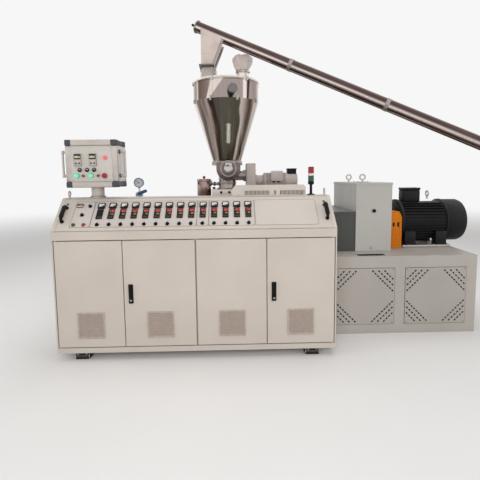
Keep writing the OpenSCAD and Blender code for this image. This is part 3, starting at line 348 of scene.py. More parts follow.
class Shader:
    """A Principled material in the making, with short calls for the nodes that it uses."""

    def __init__(self, name, **sockets):
        self.material = bpy.data.materials.new(name)
        self.material.use_nodes = True
        self.tree = self.material.node_tree
        self.surface = self.tree.nodes["Principled BSDF"]
        for socket, value in sockets.items():
            self.surface.inputs[socket.replace("_", " ")].default_value = value
        self.place = self.node("TexCoord").outputs["Object"]

    def node(self, kind, *inputs, **settings):
        """A new shader node with its settings; its inputs are linked or set."""
        made = self.tree.nodes.new("ShaderNode" + kind)
        for key, value in settings.items():
            setattr(made, key, value)
        for socket, value in inputs:
            if isinstance(value, bpy.types.NodeSocket):
                self.tree.links.new(value, made.inputs[socket])
            else:
                made.inputs[socket].default_value = value
        return made

    def set(self, socket, value):
        """Links a value to one of the surface's sockets."""
        self.tree.links.new(value, self.surface.inputs[socket])

    def local(self, lie):
        """Coordinates in a frame of the object."""
        back = lie.inverted()
        return self.node("Mapping", ("Vector", self.place), ("Location", back.translation),
                         ("Rotation", back.to_euler())).outputs[0]

    def noise(self, scale, detail=2.0, stretch=(1, 1, 1), where=None, distortion=0.0):
        """Uneven values from 0 to 1."""
        mapped = self.node("Mapping", ("Vector", where or self.place), ("Scale", stretch))
        return self.node("TexNoise", ("Vector", mapped.outputs[0]), ("Scale", scale), ("Detail", detail),
                         ("Distortion", distortion)).outputs["Fac"]

    def span(self, value, low, high, start=0.0, end=1.0):
        """A value's way from low to high, turned into a way from start to end."""
        return self.node("MapRange", ("Value", value), ("From Min", low), ("From Max", high),
                         ("To Min", start), ("To Max", end)).outputs[0]

    def maths(self, operation, a, b=0.0):
        """What an operation makes of two values."""
        return self.node("Math", (0, a), (1, b), operation=operation).outputs[0]

    def mix(self, factor, a, b):
        """A colour between a and b."""
        return self.node("Mix", (0, factor), (6, a), (7, b), data_type="RGBA").outputs[2]

    def ramp(self, value, stops):
        """Tones between stops of position and colour."""
        made = self.node("ValToRGB", ("Fac", value))
        marks = made.color_ramp.elements
        for position, _ in stops[2:]:
            marks.new(position)
        for mark, (position, colour) in zip(marks, sorted(stops)):
            mark.position, mark.color = position, colour
        return made.outputs[0]

    def upward(self):
        """How far the surface faces up."""
        normal = self.node("NewGeometry").outputs["Normal"]
        return self.node("SeparateXYZ", ("Vector", normal)).outputs["Z"]

    def crease(self, reach):
        """0 in corners and gaps, 1 in the open."""
        return self.node("AmbientOcclusion", ("Distance", reach), samples=6).outputs["AO"]

    def bump(self, height, depth, strength=1.0, soft_edge=0.0):
        """Fine relief from a height, with the piece's edges rounded where a radius is given."""
        made = self.node("Bump", ("Height", height), ("Distance", depth), ("Strength", strength))
        if soft_edge:
            self.tree.links.new(self.node("Bevel", ("Radius", soft_edge), samples=4).outputs[0],
                                made.inputs["Normal"])
        self.set("Normal", made.outputs[0])


DUST, WALL = srgb(196, 188, 176), srgb(247, 247, 248)


def painted(name, colour, rough=0.42, peel=0.00025, dust=0.16, edge=0.0016, patch=0.05, crease_shade=0.2):
    """Sprayed enamel: orange peel, slight patches, dust on top and painted shade in its gaps."""
    s = Shader(name, IOR=1.5, Specular_IOR_Level=0.3)
    patches = s.noise(2.6, 4.0)
    specks = s.noise(90.0, 3.0)
    tone = s.mix(s.span(patches, 0.32, 0.68), shade(colour, 1 - patch), shade(colour, 1 + patch * 0.6))
    settled = s.maths("MULTIPLY", s.span(s.upward(), 0.35, 1.0, 0.0, dust), s.span(specks, 0.3, 0.6))
    tone = s.mix(settled, tone, DUST)
    # Painted shade: a darker tone of the paint where ambient occlusion finds corners and gaps.
    shadow = s.span(s.crease(0.02), 0.35, 1.0, crease_shade, 0.0)
    tone = s.mix(s.maths("MULTIPLY", shadow, s.span(patches, 0.2, 0.7, 0.4, 1.0)), tone, shade(colour, 0.30))
    s.set("Base Color", tone)
    s.set("Roughness", s.span(s.noise(14.0, 5.0), 0.3, 0.7, rough - 0.05, rough + 0.08))
    s.bump(s.noise(420.0, 1.0), peel, 0.35, edge)
    return s.material


def moulded(name, colour, rough=0.45, grain=0.00008, scale=900.0, edge=0.0006, **sockets):
    """Moulded plastic or rubber with a fine grain and slightly polished patches."""
    s = Shader(name, IOR=1.48, **sockets)
    worn = s.noise(30.0, 4.0)
    s.set("Base Color", s.mix(s.span(worn, 0.35, 0.65), shade(colour, 0.88), shade(colour, 1.10)))
    s.set("Roughness", s.span(worn, 0.3, 0.7, rough - 0.08, rough + 0.08))
    s.bump(s.noise(scale, 2.0), grain, 0.5, edge)
    return s.material


def metal(name, colour, rough=0.28, stretch=(1, 1, 24), lie=Matrix(), scale=60.0, contrast=0.16, edge=0.0008):
    """Brushed or turned metal: fine lines along one way, smudges, and painted shade that darkens its corners.
    """
    s = Shader(name, Metallic=1.0)
    where = s.local(lie)
    lines = s.noise(scale, 3.0, stretch, where)
    smudges = s.noise(9.0, 5.0, where=where, distortion=0.6)
    tone = s.mix(s.span(lines, 0.25, 0.75), shade(colour, 1 - contrast), shade(colour, 1 + contrast))
    tone = s.mix(s.span(smudges, 0.50, 0.72, 0.0, 0.35), tone, shade(colour, 0.72))
    # Painted shade: a darker tone where ambient occlusion finds corners.
    tone = s.mix(s.span(s.crease(0.02), 0.3, 1.0, 0.55, 0.0), tone, shade(colour, 0.25))
    s.set("Base Color", tone)
    smeared = s.span(smudges, 0.35, 0.7, 0.0, 0.12)
    s.set("Roughness", s.maths("ADD", smeared, s.span(lines, 0.2, 0.8, rough - 0.05, rough + 0.07)))
    s.bump(lines, 0.0001, 0.25, edge)
    return s.material


def facing(across):
    """The turn of a point on a round body: 0.5 at its left rim as seen from the front, 1 at its right one."""
    return 0.75 + math.asin(across) / math.tau


def mirrored(name, lie, stops, rough=0.12, streak=0.03, waver=0.6, wedge=None):
    """Polished metal round an axis with painted reflections: a workshop's bands round the turn, a pale wedge
    of painted reflection that widens upward, and fine painted streaks.
    """
    s = Shader(name, Metallic=1.0)
    where = s.local(lie)
    parts = s.node("SeparateXYZ", ("Vector", where)).outputs
    angle = s.maths("ARCTAN2", parts["Y"], parts["X"])
    turn = s.maths("FRACT", s.maths("ADD", s.maths("DIVIDE", angle, math.tau), 1.0))
    drift = s.span(s.noise(waver, 2.0, where=where), 0.3, 0.7, -streak, streak)
    turn = s.maths("FRACT", s.maths("ADD", s.maths("ADD", turn, drift), 1.0))
    # Painted reflection: the bands' tones round the turn.
    tone = s.ramp(turn, [(at % 1, srgb(*colour)) for at, colour in stops])
    # Painted reflection: a pale wedge that widens upward.
    if wedge:
        low, high, starts, widths, colour = wedge
        start = s.span(parts["Z"], low, high, *starts)
        width = s.span(parts["Z"], low, high, *widths)
        inside = s.maths("DIVIDE", s.maths("SUBTRACT", turn, start), width)
        mask = s.maths("MULTIPLY", s.span(inside, -0.08, 0.08), s.span(inside, 1.08, 0.92))
        tone = s.mix(mask, tone, srgb(*colour))
    # Painted reflection: fine darker and brighter streaks round the turn.
    round_way = s.maths("MULTIPLY", angle, 9.0)
    up_way = s.maths("MULTIPLY", parts["Z"], 0.8)
    around_it = s.node("CombineXYZ", ("X", round_way), ("Z", up_way)).outputs[0]
    fine = s.noise(2.2, 5.0, where=around_it, distortion=0.8)
    tone = s.mix(s.span(fine, 0.52, 0.70, 0.0, 0.22), tone, srgb(*DEEP))
    tone = s.mix(s.span(fine, 0.30, 0.42, 0.14, 0.0), tone, srgb(*BRIGHT))
    s.set("Base Color", tone)
    s.set("Roughness", s.span(s.noise(22.0, 4.0, where=where), 0.3, 0.7, rough * 0.7, rough * 1.5))
    s.bump(s.noise(7.0, 2.0, where=where), 0.0008, 0.3, 0.0012)
    return s.material


def lit(name, colour, glow, strength, rough=0.2):
    """A lamp lens or a display that is on: a little uneven, moulded with fine ribs."""
    s = Shader(name, Roughness=rough, Coat_Weight=0.5, Emission_Strength=strength)
    ribs = s.noise(380.0, 2.0)
    s.set("Base Color", s.mix(s.span(ribs, 0.3, 0.7), shade(colour, 0.8), colour))
    s.set("Emission Color", s.mix(s.span(s.noise(60.0), 0.3, 0.7), shade(glow, 0.8), glow))
    s.bump(ribs, 0.0002, 0.3)
    return s.material


def film(name, colour, clear, scale=14.0):
    """Thin crumpled plastic film or cloth that light passes through."""
    s = Shader(name, Roughness=0.45, IOR=1.35, Sheen_Weight=0.15, Alpha=clear)
    creases = s.noise(scale, 4.0, distortion=0.8)
    weave = s.noise(700.0, 2.0, (1, 1, 3))
    s.set("Base Color", s.mix(s.span(creases, 0.35, 0.65), shade(colour, 0.80), shade(colour, 1.06)))
    s.bump(s.maths("ADD", creases, s.maths("MULTIPLY", weave, 0.04)), 0.004, 0.5)
    return s.material


def woven(name, colour, pitch=0.0024):
    """Filter mesh: a fine square weave, darker in its holes as painted shade."""
    s = Shader(name, Roughness=0.8)
    rate = 1 / pitch / math.tau
    waves = [s.node("TexWave", ("Vector", s.place), ("Scale", rate), bands_direction=way).outputs["Fac"]
             for way in ("X", "Z")]
    mesh = s.maths("MAXIMUM", waves[0], waves[1])
    clogged = s.noise(24.0, 4.0)
    # Painted shade: the weave's holes take a darker tone.
    tone = s.mix(s.span(mesh, 0.3, 0.9), shade(colour, 0.62), colour)
    s.set("Base Color", s.mix(s.span(clogged, 0.45, 0.7, 0.0, 0.5), tone, shade(colour, 0.8)))
    s.bump(mesh, 0.0006, 0.7)
    return s.material


CABINET = painted("cabinet enamel", srgb(205, 196, 187))
PANEL = painted("instrument panel", srgb(206, 198, 191), rough=0.36, peel=0.0001, dust=0.03)
BASE = painted("base enamel", srgb(180, 174, 167), dust=0.05)
BASE_SHEET = painted("base panel enamel", srgb(174, 169, 162))
MACHINE = painted("machine enamel", srgb(184, 182, 177), rough=0.38)
FEEDER_PAINT = painted("feeder enamel", srgb(186, 177, 171), rough=0.38)
FEED_WHITE = painted("feed block enamel", srgb(230, 221, 215), rough=0.4)
# Painted shade: a darkened copy of the machine enamel for the parts that sit in shade.
SHADED_MACHINE = painted("machine enamel in painted shade", srgb(78, 79, 77), rough=0.40, dust=0.3)
GUARD = painted("guard enamel", srgb(206, 116, 8), rough=0.36, dust=0.06, patch=0.07)
MOTOR = painted("motor enamel", srgb(20, 19, 22), rough=0.5, peel=0.0006, dust=0.05, patch=0.15)
OP_PANEL = painted("operator panel", srgb(203, 198, 192), rough=0.34, dust=0.04)
CASTING = painted("corner casting", srgb(74, 74, 80), rough=0.5, peel=0.0006, patch=0.12)
PROFILE = metal("satin profile", srgb(216, 208, 200), rough=0.42, stretch=(1, 1, 18), contrast=0.05)
BLACK = moulded("black plastic", srgb(14, 14, 15), Specular_IOR_Level=0.2)
INSTRUMENT = moulded("instrument case", srgb(36, 28, 27), rough=0.5, Specular_IOR_Level=0.2)
KEY = moulded("grey key", srgb(78, 72, 70), rough=0.5)
RUBBER = moulded("black rubber", srgb(30, 30, 31), rough=0.75, scale=300.0, grain=0.0002)
DIAL = moulded("dial white", srgb(220, 216, 210), rough=0.3, Coat_Weight=0.6)
GLASS = moulded("black glass", srgb(20, 13, 14), rough=0.3, Specular_IOR_Level=0.25)
RED_WINDOW = lit("red display window", srgb(64, 14, 18), srgb(90, 14, 18), 0.2)
RED_DIGIT = lit("red digits", srgb(196, 44, 46), srgb(220, 50, 50), 0.8)
LIME_DIGIT = lit("lime digits", srgb(150, 156, 70), srgb(170, 176, 60), 0.5)
LCD = lit("display", srgb(196, 198, 166), srgb(196, 198, 166), 0.15)
RED_LAMP = lit("red lamp", srgb(250, 70, 75), srgb(255, 70, 75), 1.1)
GREEN_LAMP = lit("green lamp", srgb(70, 225, 165), srgb(70, 235, 170), 0.7)
RED_LENS = lit("red lens", srgb(150, 18, 36), srgb(150, 18, 36), 0.10)
GREEN_LENS = lit("green lens", srgb(12, 84, 58), srgb(12, 84, 58), 0.06)
PALE_LENS = moulded("pale spacer", srgb(226, 214, 214), rough=0.25)
RED_PLASTIC = moulded("red plastic", srgb(150, 20, 26), rough=0.35, Coat_Weight=0.3)
DARK_GREEN = moulded("dark green plastic", srgb(26, 58, 44), rough=0.35, Coat_Weight=0.3)
BLUE = moulded("blue handle", srgb(36, 88, 128), rough=0.4)
SEAM = moulded("panel edging", srgb(120, 111, 106), rough=0.5)
METER_BROWN = moulded("small display case", srgb(104, 84, 72), rough=0.45)
BEIGE_LCD = lit("beige display", srgb(206, 194, 170), srgb(206, 194, 170), 0.1)
METER_PALE = moulded("meter's lower half", srgb(190, 180, 172), rough=0.4)
LID_STEEL = metal("bright lid steel", srgb(250, 236, 226), rough=0.34, contrast=0.10)
CAP_GREY = moulded("level switch cap", srgb(116, 112, 112), rough=0.5)
MESH = woven("filter mesh", srgb(176, 161, 151))
FILTER_FRAME = moulded("filter frame", srgb(184, 170, 160), rough=0.55)
CHROME = metal("bright steel", srgb(206, 202, 196), rough=0.18, contrast=0.08)
TOOL_STEEL = metal("machined steel", srgb(132, 130, 130), rough=0.34, scale=40.0,
                   lie=place(DIE_X, MID_Y, BARREL_Z))
BARREL = metal("barrel steel", srgb(150, 147, 143), rough=0.38, stretch=(1, 20, 20), scale=30.0,
               contrast=0.12)
STAINLESS = metal("stainless steel", srgb(176, 166, 160), rough=0.26, contrast=0.12)
DARK_STEEL = metal("dark polished steel", srgb(124, 110, 107), rough=0.18, contrast=0.16)
POT_STEEL = metal("pot steel", srgb(176, 152, 144), rough=0.22, contrast=0.18)
CHUTE = metal("chute steel", srgb(226, 211, 201), rough=0.46, stretch=(1, 1, 6), scale=12.0, contrast=0.06)
BRASS = metal("brass", srgb(190, 150, 80), rough=0.3)
BAG = film("bag cloth", srgb(206, 184, 176), 0.55)
SLEEVE = film("clear sleeve", srgb(222, 212, 208), 0.36, 24.0)
# Near black: painted shade in slots, wells, gaps and behind openings, and also black print, a dark display
# window and an oil sight's ring.
DARK = moulded("dark inside", srgb(20, 19, 19), rough=0.8)
# Painted shade: the feet take a near-black tone for the shade they stand in.
SHADED_FOOT = moulded("dark foot in painted shade", srgb(24, 22, 20), rough=0.7)
GAUGE_FACE = moulded("gauge face", srgb(196, 200, 206), rough=0.3, Coat_Weight=0.5)
GAUGE_RIM = metal("gauge rim", srgb(120, 122, 132), rough=0.3)
SIGHT = moulded("sight glass", srgb(196, 200, 188), rough=0.18, Coat_Weight=0.8)

# Tones of the workshop's reflection, painted on polished steel and named by how they look
BRIGHT, PALE, CREAM, MIST = (246, 234, 230), (206, 192, 184), (231, 220, 208), (168, 155, 148)
WARM, DUN, GREY, OLIVE = (155, 140, 130), (134, 119, 112), (150, 133, 125), (101, 98, 88)
BROWN, DEEP, DARKEST = (104, 84, 76), (80, 64, 64), (56, 48, 44)


def front_bands(*stops):
    """Bands of painted reflection, given by how far to the right they lie on a round body's front, from -1 to
    1.
    """
    return tuple((facing(across), tone) for across, tone in stops)


# Painted reflection: the bands that the hopper and the tube take round their turn.
BACK_REFLECTION_BANDS = ((0.06, GREY), (0.12, DEEP), (0.20, PALE), (0.27, DUN), (0.34, CREAM), (0.40, BROWN),
              (0.46, GREY))
DRUM_REFLECTION_BANDS = front_bands(
    (-1, PALE), (-0.95, GREY), (-0.89, GREY), (-0.86, CREAM), (-0.82, BROWN), (-0.57, DUN),
    (-0.45, MIST), (0.45, MIST), (0.49, BRIGHT), (0.57, BRIGHT), (0.60, BROWN), (0.67, MIST),
    (0.90, GREY), (0.94, PALE), (0.999, CREAM))
CONE_REFLECTION_BANDS = front_bands(
    (-1, CREAM), (-0.91, CREAM), (-0.87, GREY), (-0.76, DUN), (-0.70, PALE), (-0.62, MIST),
    (-0.49, PALE), (-0.42, BROWN), (-0.30, DARKEST), (-0.26, OLIVE), (0.45, OLIVE), (0.49, BRIGHT),
    (0.60, PALE), (0.66, MIST), (0.72, BROWN), (0.78, GREY), (0.84, CREAM), (0.90, MIST),
    (0.95, PALE), (0.999, CREAM))
TUBE_REFLECTION_BANDS = (
    (0.556, WARM), (0.63, BROWN), (0.715, DEEP), (0.750, DUN), (0.778, BRIGHT), (0.797, BRIGHT),
    (0.825, GREY), (0.850, DEEP), (0.889, DEEP), (0.912, PALE), (0.932, DUN), (0.962, DEEP),
    (0.99, DEEP), (0.056, MIST), (0.20, GREY), (0.30, DARKEST), (0.42, MIST))
# Polished steels whose colour is painted reflection.
DRUM = mirrored("polished drum, painted reflections", HOPPER, DRUM_REFLECTION_BANDS + BACK_REFLECTION_BANDS, streak=0.008,
                wedge=(HOP_SEAM, HOP_TOP, (0.648, 0.674), (0.018, 0.060), CREAM))
CONE = mirrored("polished cone, painted reflections", HOPPER, CONE_REFLECTION_BANDS + BACK_REFLECTION_BANDS, streak=0.018, waver=2.2)
TUBE_STEEL = mirrored("loader tube steel, painted reflections", TUBE, TUBE_REFLECTION_BANDS, rough=0.2, streak=0.006, waver=1.5)

SLOT_LOOKS = {
    "cabinet_paint": CABINET, "black_plastic": BLACK, "panel_sheet": PANEL, "instrument_plastic": INSTRUMENT,
    "meter_white": DIAL, "lamp_lens": GREEN_LENS, "profile_aluminium": PROFILE, "operator_panel": OP_PANEL,
    "base_paint": BASE, "machine_paint": MACHINE, "dark_machine_paint": SHADED_MACHINE, "guard_paint": GUARD,
    "motor_paint": MOTOR, "tool_steel": TOOL_STEEL, "barrel_steel": BARREL, "stainless": STAINLESS,
    "polished_stainless": CONE, "bag_cloth": BAG,
}


# Small parts that repeat
def cap_screw(p, x, y, z, r=0.006, look=CHROME):
    """A socket head on a washer, standing on z."""
    with p.moved(shift(x, y, z)):
        p.turned(((r * 1.5, 0), (r * 1.5, r * 0.25), (r, r * 0.25), (r, r * 1.2), (r * 0.86, r * 1.35),
                  (r * 0.5, r * 1.35), (r * 0.45, r * 0.8)), look, 12)


def hex_bolt(p, x, y, z, r=0.010, look=CHROME):
    """A hexagon head on a washer."""
    with p.moved(shift(x, y, z)):
        p.slab(disc(r * 1.25, 20), 0, r * 0.22, look, r * 0.06)
        p.slab(disc(r, 6, start=0.3), r * 0.22, r * 0.95, look, r * 0.14)
        p.slab(disc(r * 0.45, 12), r * 0.95, r * 1.25, look, r * 0.1)


def hex_bolts(p, places, z, r, look=CHROME):
    """One bolt at each place, all at one height."""
    for x, y in places:
        hex_bolt(p, x, y, z, r, look)


def pan_screw(p, x, y, z, r=0.004, look=CHROME):
    """A domed head with a cross slot painted dark as shade."""
    with p.moved(shift(x, y, z)):
        p.turned(((r, 0), (r, r * 0.3), (r * 0.8, r * 0.6), (r * 0.4, r * 0.75)), look, 12)
        # Painted shade: the cross slot is a pair of dark strips.
        for turn in (20, 110):
            with p.moved(spin(turn, "Z")):
                p.slab(rect(r * 1.1, r * 0.22), r * 0.6, r * 0.78, DARK)


def pan_screws(p, places, z, r):
    """One screw at each place, all at one height."""
    for x, y in places:
        pan_screw(p, x, y, z, r)


SEGMENTS = {"0": "abcdef", "1": "bc", "2": "abged", "3": "abgcd", "4": "fgbc", "5": "afgcd", "6": "afgedc",
            "7": "abc", "8": "abcdefg", "9": "abcdfg"}
SEGMENT_PLACE = {"a": (0, 1, 1), "b": (1, 0.5, 0), "c": (1, -0.5, 0), "d": (0, -1, 1), "e": (-1, -0.5, 0),
                 "f": (-1, 0.5, 0), "g": (0, 0, 1)}


def digits(p, number, x, y, z, height, look):
    """Seven-segment figures, right-aligned at x."""
    width, bar = height * 0.5, height * 0.17
    for k, figure in enumerate(reversed(number)):
        middle = x - width * 0.7 - k * width * 1.45
        for name in SEGMENTS[figure]:
            side, rise, flat = SEGMENT_PLACE[name]
            size = (width - bar, bar) if flat else (bar, height / 2 - bar * 0.6)
            p.slab(rect(*size, x=middle + side * width / 2, y=y + rise * height / 2), z, z + 0.0004, look)


def selector(p, x, y, z, r, out, turn=-35):
    """A selector switch: ring, body and a grip bar with its pointer line."""
    with p.moved(shift(x, y, z), spin(turn, "Z")):
        p.turned(((r, 0), (r, 0.004), (r * 0.88, 0.0065), (r * 0.72, 0.0065)), BLACK, 28)
        p.turned(((r * 0.70, 0.004), (r * 0.70, out * 0.55), (r * 0.62, out * 0.65)), BLACK, 28)
        p.slab(rect(r * 0.52, r * 1.55, r * 0.2), out * 0.5, out, BLACK, 0.002)
        p.slab(rect(r * 0.12, r * 0.55, y=r * 0.42), out - 0.0003, out + 0.0002, DIAL)


def push_button(p, x, y, z, r, out, look):
    """A round button in its bright ring."""
    with p.moved(shift(x, y, z)):
        p.turned(((r * 1.22, 0), (r * 1.22, 0.003), (r * 1.12, 0.0055), (r, 0.0055), (r, 0.004)), CHROME, 28)
        p.turned(((r * 0.94, 0.003), (r * 0.94, out * 0.72), (r * 0.82, out * 0.92), (r * 0.45, out)),
                 look, 28)


# The doors
def door_filter(i):
    """An air filter: frame, mesh, slats and a pull along its foot."""
    left, right = LEAVES[i]
    p = Piece(f"door_{i + 1}_filter", f"door_{i + 1}")
    p.at(place((left + right) / 2, 0, FILTER_LOW + FILTER / 2) @ FRONT)
    frame_w, frame_out = 0.011, FILTER_OUT + 0.0022
    p.border(rect(FILTER + 0.004, FILTER + 0.004, 0.004), frame_w, 0, frame_out, FILTER_FRAME, 0.0015)
    p.slab(rect(FILTER - 0.014, FILTER - 0.014), FILTER_OUT, FILTER_OUT + 0.0004, MESH)
    slats, slat_len, slat_h = 30, FILTER - 0.02, 0.0016
    for k in range(slats):
        y = (k + 0.5 - slats / 2) * slat_len / slats
        p.slab(rect(slat_len, slat_h, y=y), FILTER_OUT + 0.0002, FILTER_OUT + 0.0014, FILTER_FRAME)
    pull = rect(FILTER - 0.012, 0.010, 0.003, y=0.008 - FILTER / 2)
    p.slab(pull, FILTER_OUT, FILTER_OUT + 0.0042, FILTER_FRAME, 0.001)
    p.done("cabinet_paint")


def door_gasket(i):
    """A rubber seal on the door's inner side."""
    left, right = LEAVES[i]
    thick, wide = 0.0035, 0.012
    p = Piece(f"door_{i + 1}_gasket", f"door_{i + 1}")
    p.at(place((left + right) / 2, 0, (LEAF_LOW + LEAF_HIGH) / 2) @ FRONT @ shift(0, 0, -LEAF_T - thick))
    outline = rect(right - left - 0.06, LEAF_HIGH - LEAF_LOW - 0.05, 0.012)
    p.border(outline, wide, 0, thick, RUBBER, 0.0008)
    p.done("black_plastic")


def door_handle(i):
    """A swing handle: cup, rim, ribbed lever and its lock, whose key slot is painted dark as shade."""
    p = Piece(f"door_{i + 1}_handle", f"door_{i + 1}").at(place(LEAVES[i][0] + LATCH_IN, 0, LATCH_Z) @ FRONT)
    p.slab(rect(LATCH_W + 0.005, LATCH_H + 0.003, 0.007), 0, 0.0030, BLACK, 0.001)
    p.slab(rect(LATCH_W, LATCH_H, 0.006), 0.003, 0.0085, BLACK, 0.002)
    p.border(rect(LATCH_W - 0.004, LATCH_H - 0.006, 0.005), 0.0028, 0.008, 0.011, BLACK)
    lever = rect(LATCH_W * 0.62, LATCH_H * 0.70, 0.006, y=LATCH_H * 0.10)
    p.slab(lever, 0.0085, 0.0205, BLACK, 0.0035, steps=3)
    rib_h, rib_pitch = 0.0016, 0.004
    for k in range(5):
        p.slab(rect(LATCH_W * 0.5, rib_h, y=LATCH_H * 0.36 - k * rib_pitch), 0.020, 0.0212, BLACK)
    p.at(p.lie @ shift(0, -LATCH_H * 0.34, 0))
    p.turned(((0.0095, 0.008), (0.0095, 0.0125), (0.0082, 0.0140), (0.0062, 0.0140), (0.0058, 0.0115)),
             CHROME, 24)
    # Painted shade: a dark strip for the lock's key slot.
    p.slab(rect(0.0016, 0.0075), 0.0112, 0.0128, DARK)
    p.done("black_plastic", [f"door_latch_{i + 1}"])


# The console on the slope
def temperature_controllers():
    """A row of controllers with red and lime figures; the first one is dark."""
    p = Piece("console_controllers", "console").at(SLOPE)
    rng = random.Random(7)
    t, face = CONTROLLER_T, PANEL_T + CONTROLLER_OUT - 0.0022
    key_pitch, line_pitch, lamp_pitch = 0.0094, 0.0024, 0.0075
    for i in range(ZONES):
        x = ZONE_X + i * ZONE_PITCH
        rim = rect(CONTROLLER_W, CONTROLLER_H, 0.003, x, t)
        p.border(rim, 0.0034, PANEL_T, PANEL_T + CONTROLLER_OUT, INSTRUMENT, 0.0012)
        p.slab(rect(CONTROLLER_W - 0.005, CONTROLLER_H - 0.005, 0.001, x, t), PANEL_T, face, GLASS)
        p.block((x - 0.022, t - 0.0445, -0.078), (x + 0.022, t + 0.0445, -0.003), INSTRUMENT, 0.002)
        for k in range(4):
            key = rect(0.0068, 0.0052, 0.0012, x - 0.0141 + k * key_pitch, t - 0.038)
            p.slab(key, face, face + 0.0012, KEY, 0.0004)
            p.slab(rect(0.038, 0.0012, x=x, y=t - 0.026 - k * line_pitch), face, face + 0.0003, KEY)
        for k in range(3):
            lamp = LIME_DIGIT if k == 1 and i else INSTRUMENT
            dot = disc(0.0014, 10, x - 0.0175, t + 0.004 - k * lamp_pitch)
            p.slab(dot, face, face + 0.0004, lamp)
        if i == 0:
            p.slab(rect(0.038, 0.030, 0.001, x, t + 0.026), face, face + 0.0003, DARK)
            continue
        p.slab(rect(0.036, 0.028, 0.001, x + 0.002, t + 0.028), face, face + 0.0003, RED_WINDOW)
        actual, wanted = str(rng.randint(158, 196)), str(rng.choice((165, 170, 175, 180, 185)))
        digits(p, actual, x + 0.021, t + 0.028, face + 0.0003, 0.0200, RED_DIGIT)
        digits(p, wanted, x + 0.018, t - 0.003, face, 0.0130, LIME_DIGIT)
    p.done("instrument_plastic", ["temperature_controllers"])


def meter_scale(p, pivot, face):
    """A black corner over a meter's pivot, ticks round it and the scale's arc."""
    def sweep(radius, steps):
        """Points over the quarter turn that a needle passes."""
        return [(pivot[0] - radius * math.sin(a), pivot[1] + radius * math.cos(a))
                for a in quarter(radius, steps)]
    reach, line, fan_r = 0.0290, 0.0007, 0.016
    right = pivot[0] + 0.002
    fan = shape((right, pivot[1]), (right, pivot[1] + fan_r), *sweep(fan_r, 8))
    p.slab(fan, face, face + 0.0016, BLACK, 0.0004)
    for k in range(11):
        width, tick = (0.0009, 0.0030) if k % 5 else (0.0014, 0.0050)
        with p.moved(shift(*pivot), Matrix.Rotation(math.pi / 2 * k / 10, 4, "Z")):
            p.slab(rect(width, tick, y=reach - tick / 2), face, face + 0.0002, BLACK)
    p.slab(shape(*sweep(reach, 12), *sweep(reach - line, 12)[::-1]), face, face + 0.0002, BLACK)


def ammeters():
    """A row of square meters with quarter-round scales and red needles."""
    p = Piece("console_ammeters", "console")
    half, face = AMMETER_W / 2, PANEL_T + AMMETER_OUT - 0.003
    pivot = (half - 0.011, 0.014 - half)
    for i in range(ZONES):
        p.at(SLOPE @ shift(ZONE_X + i * ZONE_PITCH, AMMETER_T, 0))
        rim = rect(AMMETER_W, AMMETER_W, 0.009)
        p.border(rim, 0.0082, PANEL_T, PANEL_T + AMMETER_OUT, INSTRUMENT, 0.0022)
        p.slab(rect(AMMETER_W - 0.014, AMMETER_W - 0.014, 0.003), PANEL_T, face, DIAL)
        p.slab(rect(AMMETER_W - 0.018, 0.010, 0.002, y=0.0135 - half), face, face + 0.0014, BLACK, 0.0005)
        meter_scale(p, pivot, face)
        with p.moved(shift(*pivot), spin(62 if i else 88, "Z")):
            p.slab(rect(0.0009, 0.028, y=0.014), face + 0.0018, face + 0.0022, RED_PLASTIC)
        p.turned(((0.0245, -0.048), (0.025, -0.046), (0.025, -0.003)), BLACK, 28)
        for x in (-0.011, 0.011):
            with p.moved(shift(x, 0, -0.048), spin(180, "X")):
                hex_bolt(p, 0, 0, 0, 0.0035, BRASS)
    p.done("meter_white", ["ammeters"])


def small_display(p, x, y):
    """A brown display with beige figures over a beige strip."""
    face = PANEL_T + 0.0065
    p.border(rect(0.052, 0.036, 0.002, x, y), 0.002, PANEL_T, PANEL_T + 0.009, METER_BROWN)
    p.slab(rect(0.049, 0.033, 0.001, x, y), PANEL_T, face, METER_BROWN)
    p.slab(rect(0.045, 0.011, 0.001, x, y - 0.008), face, face + 0.0007, BEIGE_LCD)
    digits(p, "400", x + 0.017, y + 0.006, face, 0.0080, BEIGE_LCD)


def panel_edging(p):
    """A thin line round each instrument sheet and a screw near each of its corners."""
    middle = (PANEL_LOW + PANEL_HIGH) / 2
    for left, right in zip(PANEL_SEAMS, PANEL_SEAMS[1:]):
        corner = 0.022 if right == PANEL_SEAMS[-1] else 0.004
        outline = rect(right - left - 0.003, PANEL_HIGH - PANEL_LOW, corner, (left + right) / 2, middle)
        p.border(outline, 0.0022, PANEL_T, PANEL_T + 0.0003, SEAM, 0.0001)
        screws = product((left + 0.010, right - 0.010), (PANEL_LOW + 0.009, PANEL_HIGH - 0.009))
        pan_screws(p, screws, PANEL_T, 0.0032)


def console_switches():
    """A knob under each controller, the start and stop group, and the sheets' edging."""
    p = Piece("console_switches_detail", "console").at(SLOPE)
    knob_r, button_r, button_out = 0.0150, 0.0138, KNOB_OUT * 0.6
    for i in range(ZONES):
        selector(p, ZONE_X + i * ZONE_PITCH, KNOB_T, PANEL_T, knob_r, KNOB_OUT)
    selector(p, START_X + 0.044, AMMETER_T, PANEL_T, knob_r, KNOB_OUT, 45)
    selector(p, START_X, CONTROLLER_T - 0.006, PANEL_T, knob_r, KNOB_OUT, 0)
    push_button(p, START_X - 0.044, KNOB_T, PANEL_T, button_r, button_out, DARK_GREEN)
    push_button(p, START_X + 0.034, KNOB_T, PANEL_T, button_r, button_out, RED_PLASTIC)
    small_display(p, START_X - 0.037, AMMETER_T + 0.006)
    panel_edging(p)
    p.done("black_plastic", ["console_switches"])


def bow_handle(p, half, out, bend, radius, look):
    """A round bar that stands on its two ends."""
    path = rounded_path(((0, -half, 0), (0, -half, out), (0, half, out), (0, half, 0)), bend)
    p.rod(path, radius, look, 16)


